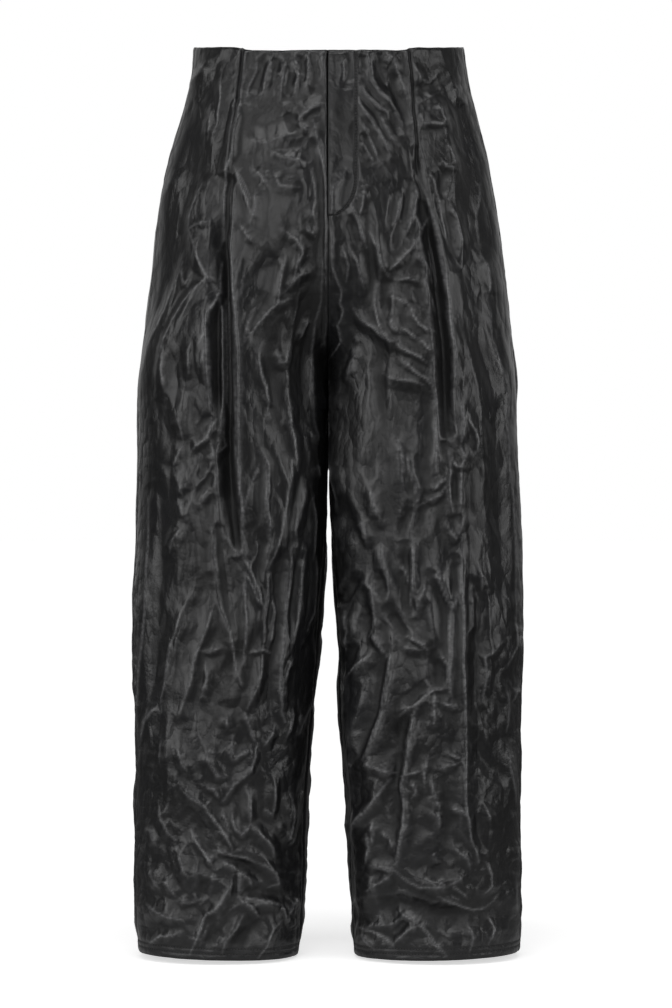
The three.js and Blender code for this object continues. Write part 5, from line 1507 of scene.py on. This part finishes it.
def tape_material():
    material, tree, shader = new_material("woven_tape")
    cloth = node(tree, "ShaderNodeAttribute", attribute_name="cloth").outputs["Vector"]
    weft = node(tree, "ShaderNodeTexWave", {"Vector": cloth, "Scale": 330.0}, bands_direction="Y")
    warp = node(tree, "ShaderNodeTexWave", {"Vector": cloth, "Scale": 260.0}, bands_direction="DIAGONAL")
    weave = maths(tree, "MULTIPLY", weft.outputs["Fac"], warp.outputs["Fac"])
    colour = blend(tree, weave, (0.008, 0.008, 0.009, 1), (0.022, 0.022, 0.025, 1))
    tree.links.new(colour, shader.inputs["Base Color"])
    tree.links.new(between(tree, weave, 0.0, 1.0, 0.85, 0.7), shader.inputs["Roughness"])
    bump = node(tree, "ShaderNodeBump", {"Height": weave, "Strength": 0.6, "Distance": 0.0002})
    tree.links.new(bump.outputs["Normal"], shader.inputs["Normal"])
    return material


def metal_material():
    material, tree, shader = new_material("dark_zip_metal")
    shader.inputs["Metallic"].default_value = 1.0
    place = node(tree, "ShaderNodeTexCoord").outputs["Object"]
    scuffs = node(tree, "ShaderNodeTexNoise", {"Vector": place, "Scale": 700.0, "Detail": 4.0})
    colour = blend(tree, scuffs.outputs["Fac"], (0.10, 0.10, 0.105, 1), (0.22, 0.22, 0.225, 1))
    tree.links.new(colour, shader.inputs["Base Color"])
    tree.links.new(between(tree, scuffs.outputs["Fac"], 0.3, 0.7, 0.28, 0.5), shader.inputs["Roughness"])
    bump = node(tree, "ShaderNodeBump", {"Height": scuffs.outputs["Fac"], "Strength": 0.3, "Distance": 0.00004})
    tree.links.new(bump.outputs["Normal"], shader.inputs["Normal"])
    return material


LEATHER, BACKING, BLACK_THREAD = leather_material(), backing_material(), thread_material()
for part in [*(made["piece"] for made in panels.values()), FLY]:
    part.data.materials.append(LEATHER)
    part.data.materials.append(BACKING)
for piece in THREADS.values():
    piece.data.materials.append(BLACK_THREAD)
TAPE, METAL = tape_material(), metal_material()
for _ in ("outside", "inside"):
    ZIP_TAPE_PIECE.data.materials.append(TAPE)
for piece in (ZIP_TEETH, ZIP_SLIDER):
    piece.data.materials.append(METAL)

# %% [markdown]
# ## The pieces ride on the frame
# Each panel stands for its CAD solid, which is hidden, and rides on the frame's root. The fly and the zip take the
# place of their solids in the same way, and the thread rides there too. Seam allowances and turned edges don't show
# and aren't counted.


for node_name, part in panels.items():
    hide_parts(node_name)
    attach(part["piece"], "root")

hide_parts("fly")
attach(FLY, "root")
for piece in (ZIP_TAPE_PIECE, ZIP_TEETH, ZIP_SLIDER):
    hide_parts("zip")
    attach(piece, "root")
for piece in THREADS.values():
    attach(piece, "root")

# %% [markdown]
# ## Floor and light
# Leather shows the reflections of its surroundings and little else, so the light is a room of large soft boxes with
# dark gaps between them: a large one in front that lights what faces the camera, one on each side, one above, and a
# pale backdrop that draws a light line along the edges. The facets that face a box shine and those that face a gap
# are black. The floor is white further out, as the backdrop is, and only the soft shadow at the hems shows.
# %% Stage
FLOOR_DROP, FLOOR_REACH, FLOOR_NEAR, FLOOR_FAR = -989, 40, 0.62, 1.0
SHADOW_REACH, FADE_REACH = 0.2, 0.6
ROOM_FRONT, ROOM_BACK = 0.05, 0.55


def add_floor():
    mesh = bpy.data.meshes.new("Floor")
    corners = [(x * FLOOR_REACH, y * FLOOR_REACH, 0) for x, y in ((-1, -1), (1, -1), (1, 1), (-1, 1))]
    mesh.from_pydata(corners, [], [(0, 1, 2, 3)])
    floor = bpy.data.objects.new("Floor", mesh)
    bpy.context.scene.collection.objects.link(floor)
    floor.location.z = FLOOR_DROP * MM
    material, tree, shader = new_material("pale_floor")
    shader.inputs["Roughness"].default_value = 1.0
    shader.inputs["Specular IOR Level"].default_value = 0.0
    shader.inputs["Emission Color"].default_value = (1, 1, 1, 1)
    place = node(tree, "ShaderNodeTexCoord").outputs["Object"]
    away = node(tree, "ShaderNodeVectorMath", {0: place}, operation="LENGTH").outputs["Value"]
    reach = {0: away, 1: SHADOW_REACH, 2: FADE_REACH}
    far = node(tree, "ShaderNodeMapRange", reach, interpolation_type="SMOOTHSTEP").outputs[0]
    tree.links.new(blend(tree, far, (0.85, 0.85, 0.85, 1), (0.2, 0.2, 0.2, 1)), shader.inputs["Base Color"])
    seen = node(tree, "ShaderNodeLightPath").outputs["Is Camera Ray"]
    lift = between(tree, far, 0.0, 1.0, FLOOR_NEAR, FLOOR_FAR)
    tree.links.new(maths(tree, "MULTIPLY", seen, lift), shader.inputs["Emission Strength"])
    mesh.materials.append(material)


def add_light(name, place, aim, size, brightness):
    """A soft box. Brightness is that of its face, where 1 is white in the picture."""
    light = bpy.data.lights.new(name, "AREA")
    light.shape, light.size, light.size_y = "RECTANGLE", size[0], size[1]
    light.energy = brightness * math.pi * size[0] * size[1]
    lamp = bpy.data.objects.new(name, light)
    bpy.context.scene.collection.objects.link(lamp)
    lamp.location = place
    way = np.array(aim) - np.array(place)
    lamp.rotation_euler = (math.acos(-way[2] / np.linalg.norm(way)), 0, math.atan2(way[1], way[0]) - math.pi / 2)


add_floor()
add_light("Left box", (-2.7, -1.9, 0.2), (0, 0, -0.45), (1.6, 2.8), 2.7)
add_light("Right box", (2.8, -1.6, 0.0), (0, 0, -0.5), (1.2, 2.8), 2.8)
add_light("Top box", (0, -1.7, 2.2), (0, 0, -0.4), (3.0, 1.2), 3.6)
add_light("Front box", (-0.5, -4.0, 0.1), (0, 0, -0.5), (2.4, 2.4), 2.15)
world = bpy.data.worlds.new("Studio")
bpy.context.scene.world = world
world.use_nodes = True
sky = world.node_tree
direct = node(sky, "ShaderNodeLightPath").outputs["Is Camera Ray"]
toward = node(sky, "ShaderNodeTexCoord").outputs["Generated"]
depth = node(sky, "ShaderNodeSeparateXYZ", {0: toward}).outputs["Y"]
room = between(sky, depth, 0.0, 0.9, ROOM_FRONT, ROOM_BACK)
sky.nodes["Background"].inputs["Color"].default_value = (1, 1, 1, 1)
lit = node(sky, "ShaderNodeMix", {"Factor": direct}, data_type="FLOAT")
sky.links.new(room, lit.inputs[2])
lit.inputs[3].default_value = 1.0
sky.links.new(lit.outputs[0], sky.nodes["Background"].inputs["Strength"])
bpy.context.scene.view_settings.view_transform = "Standard"
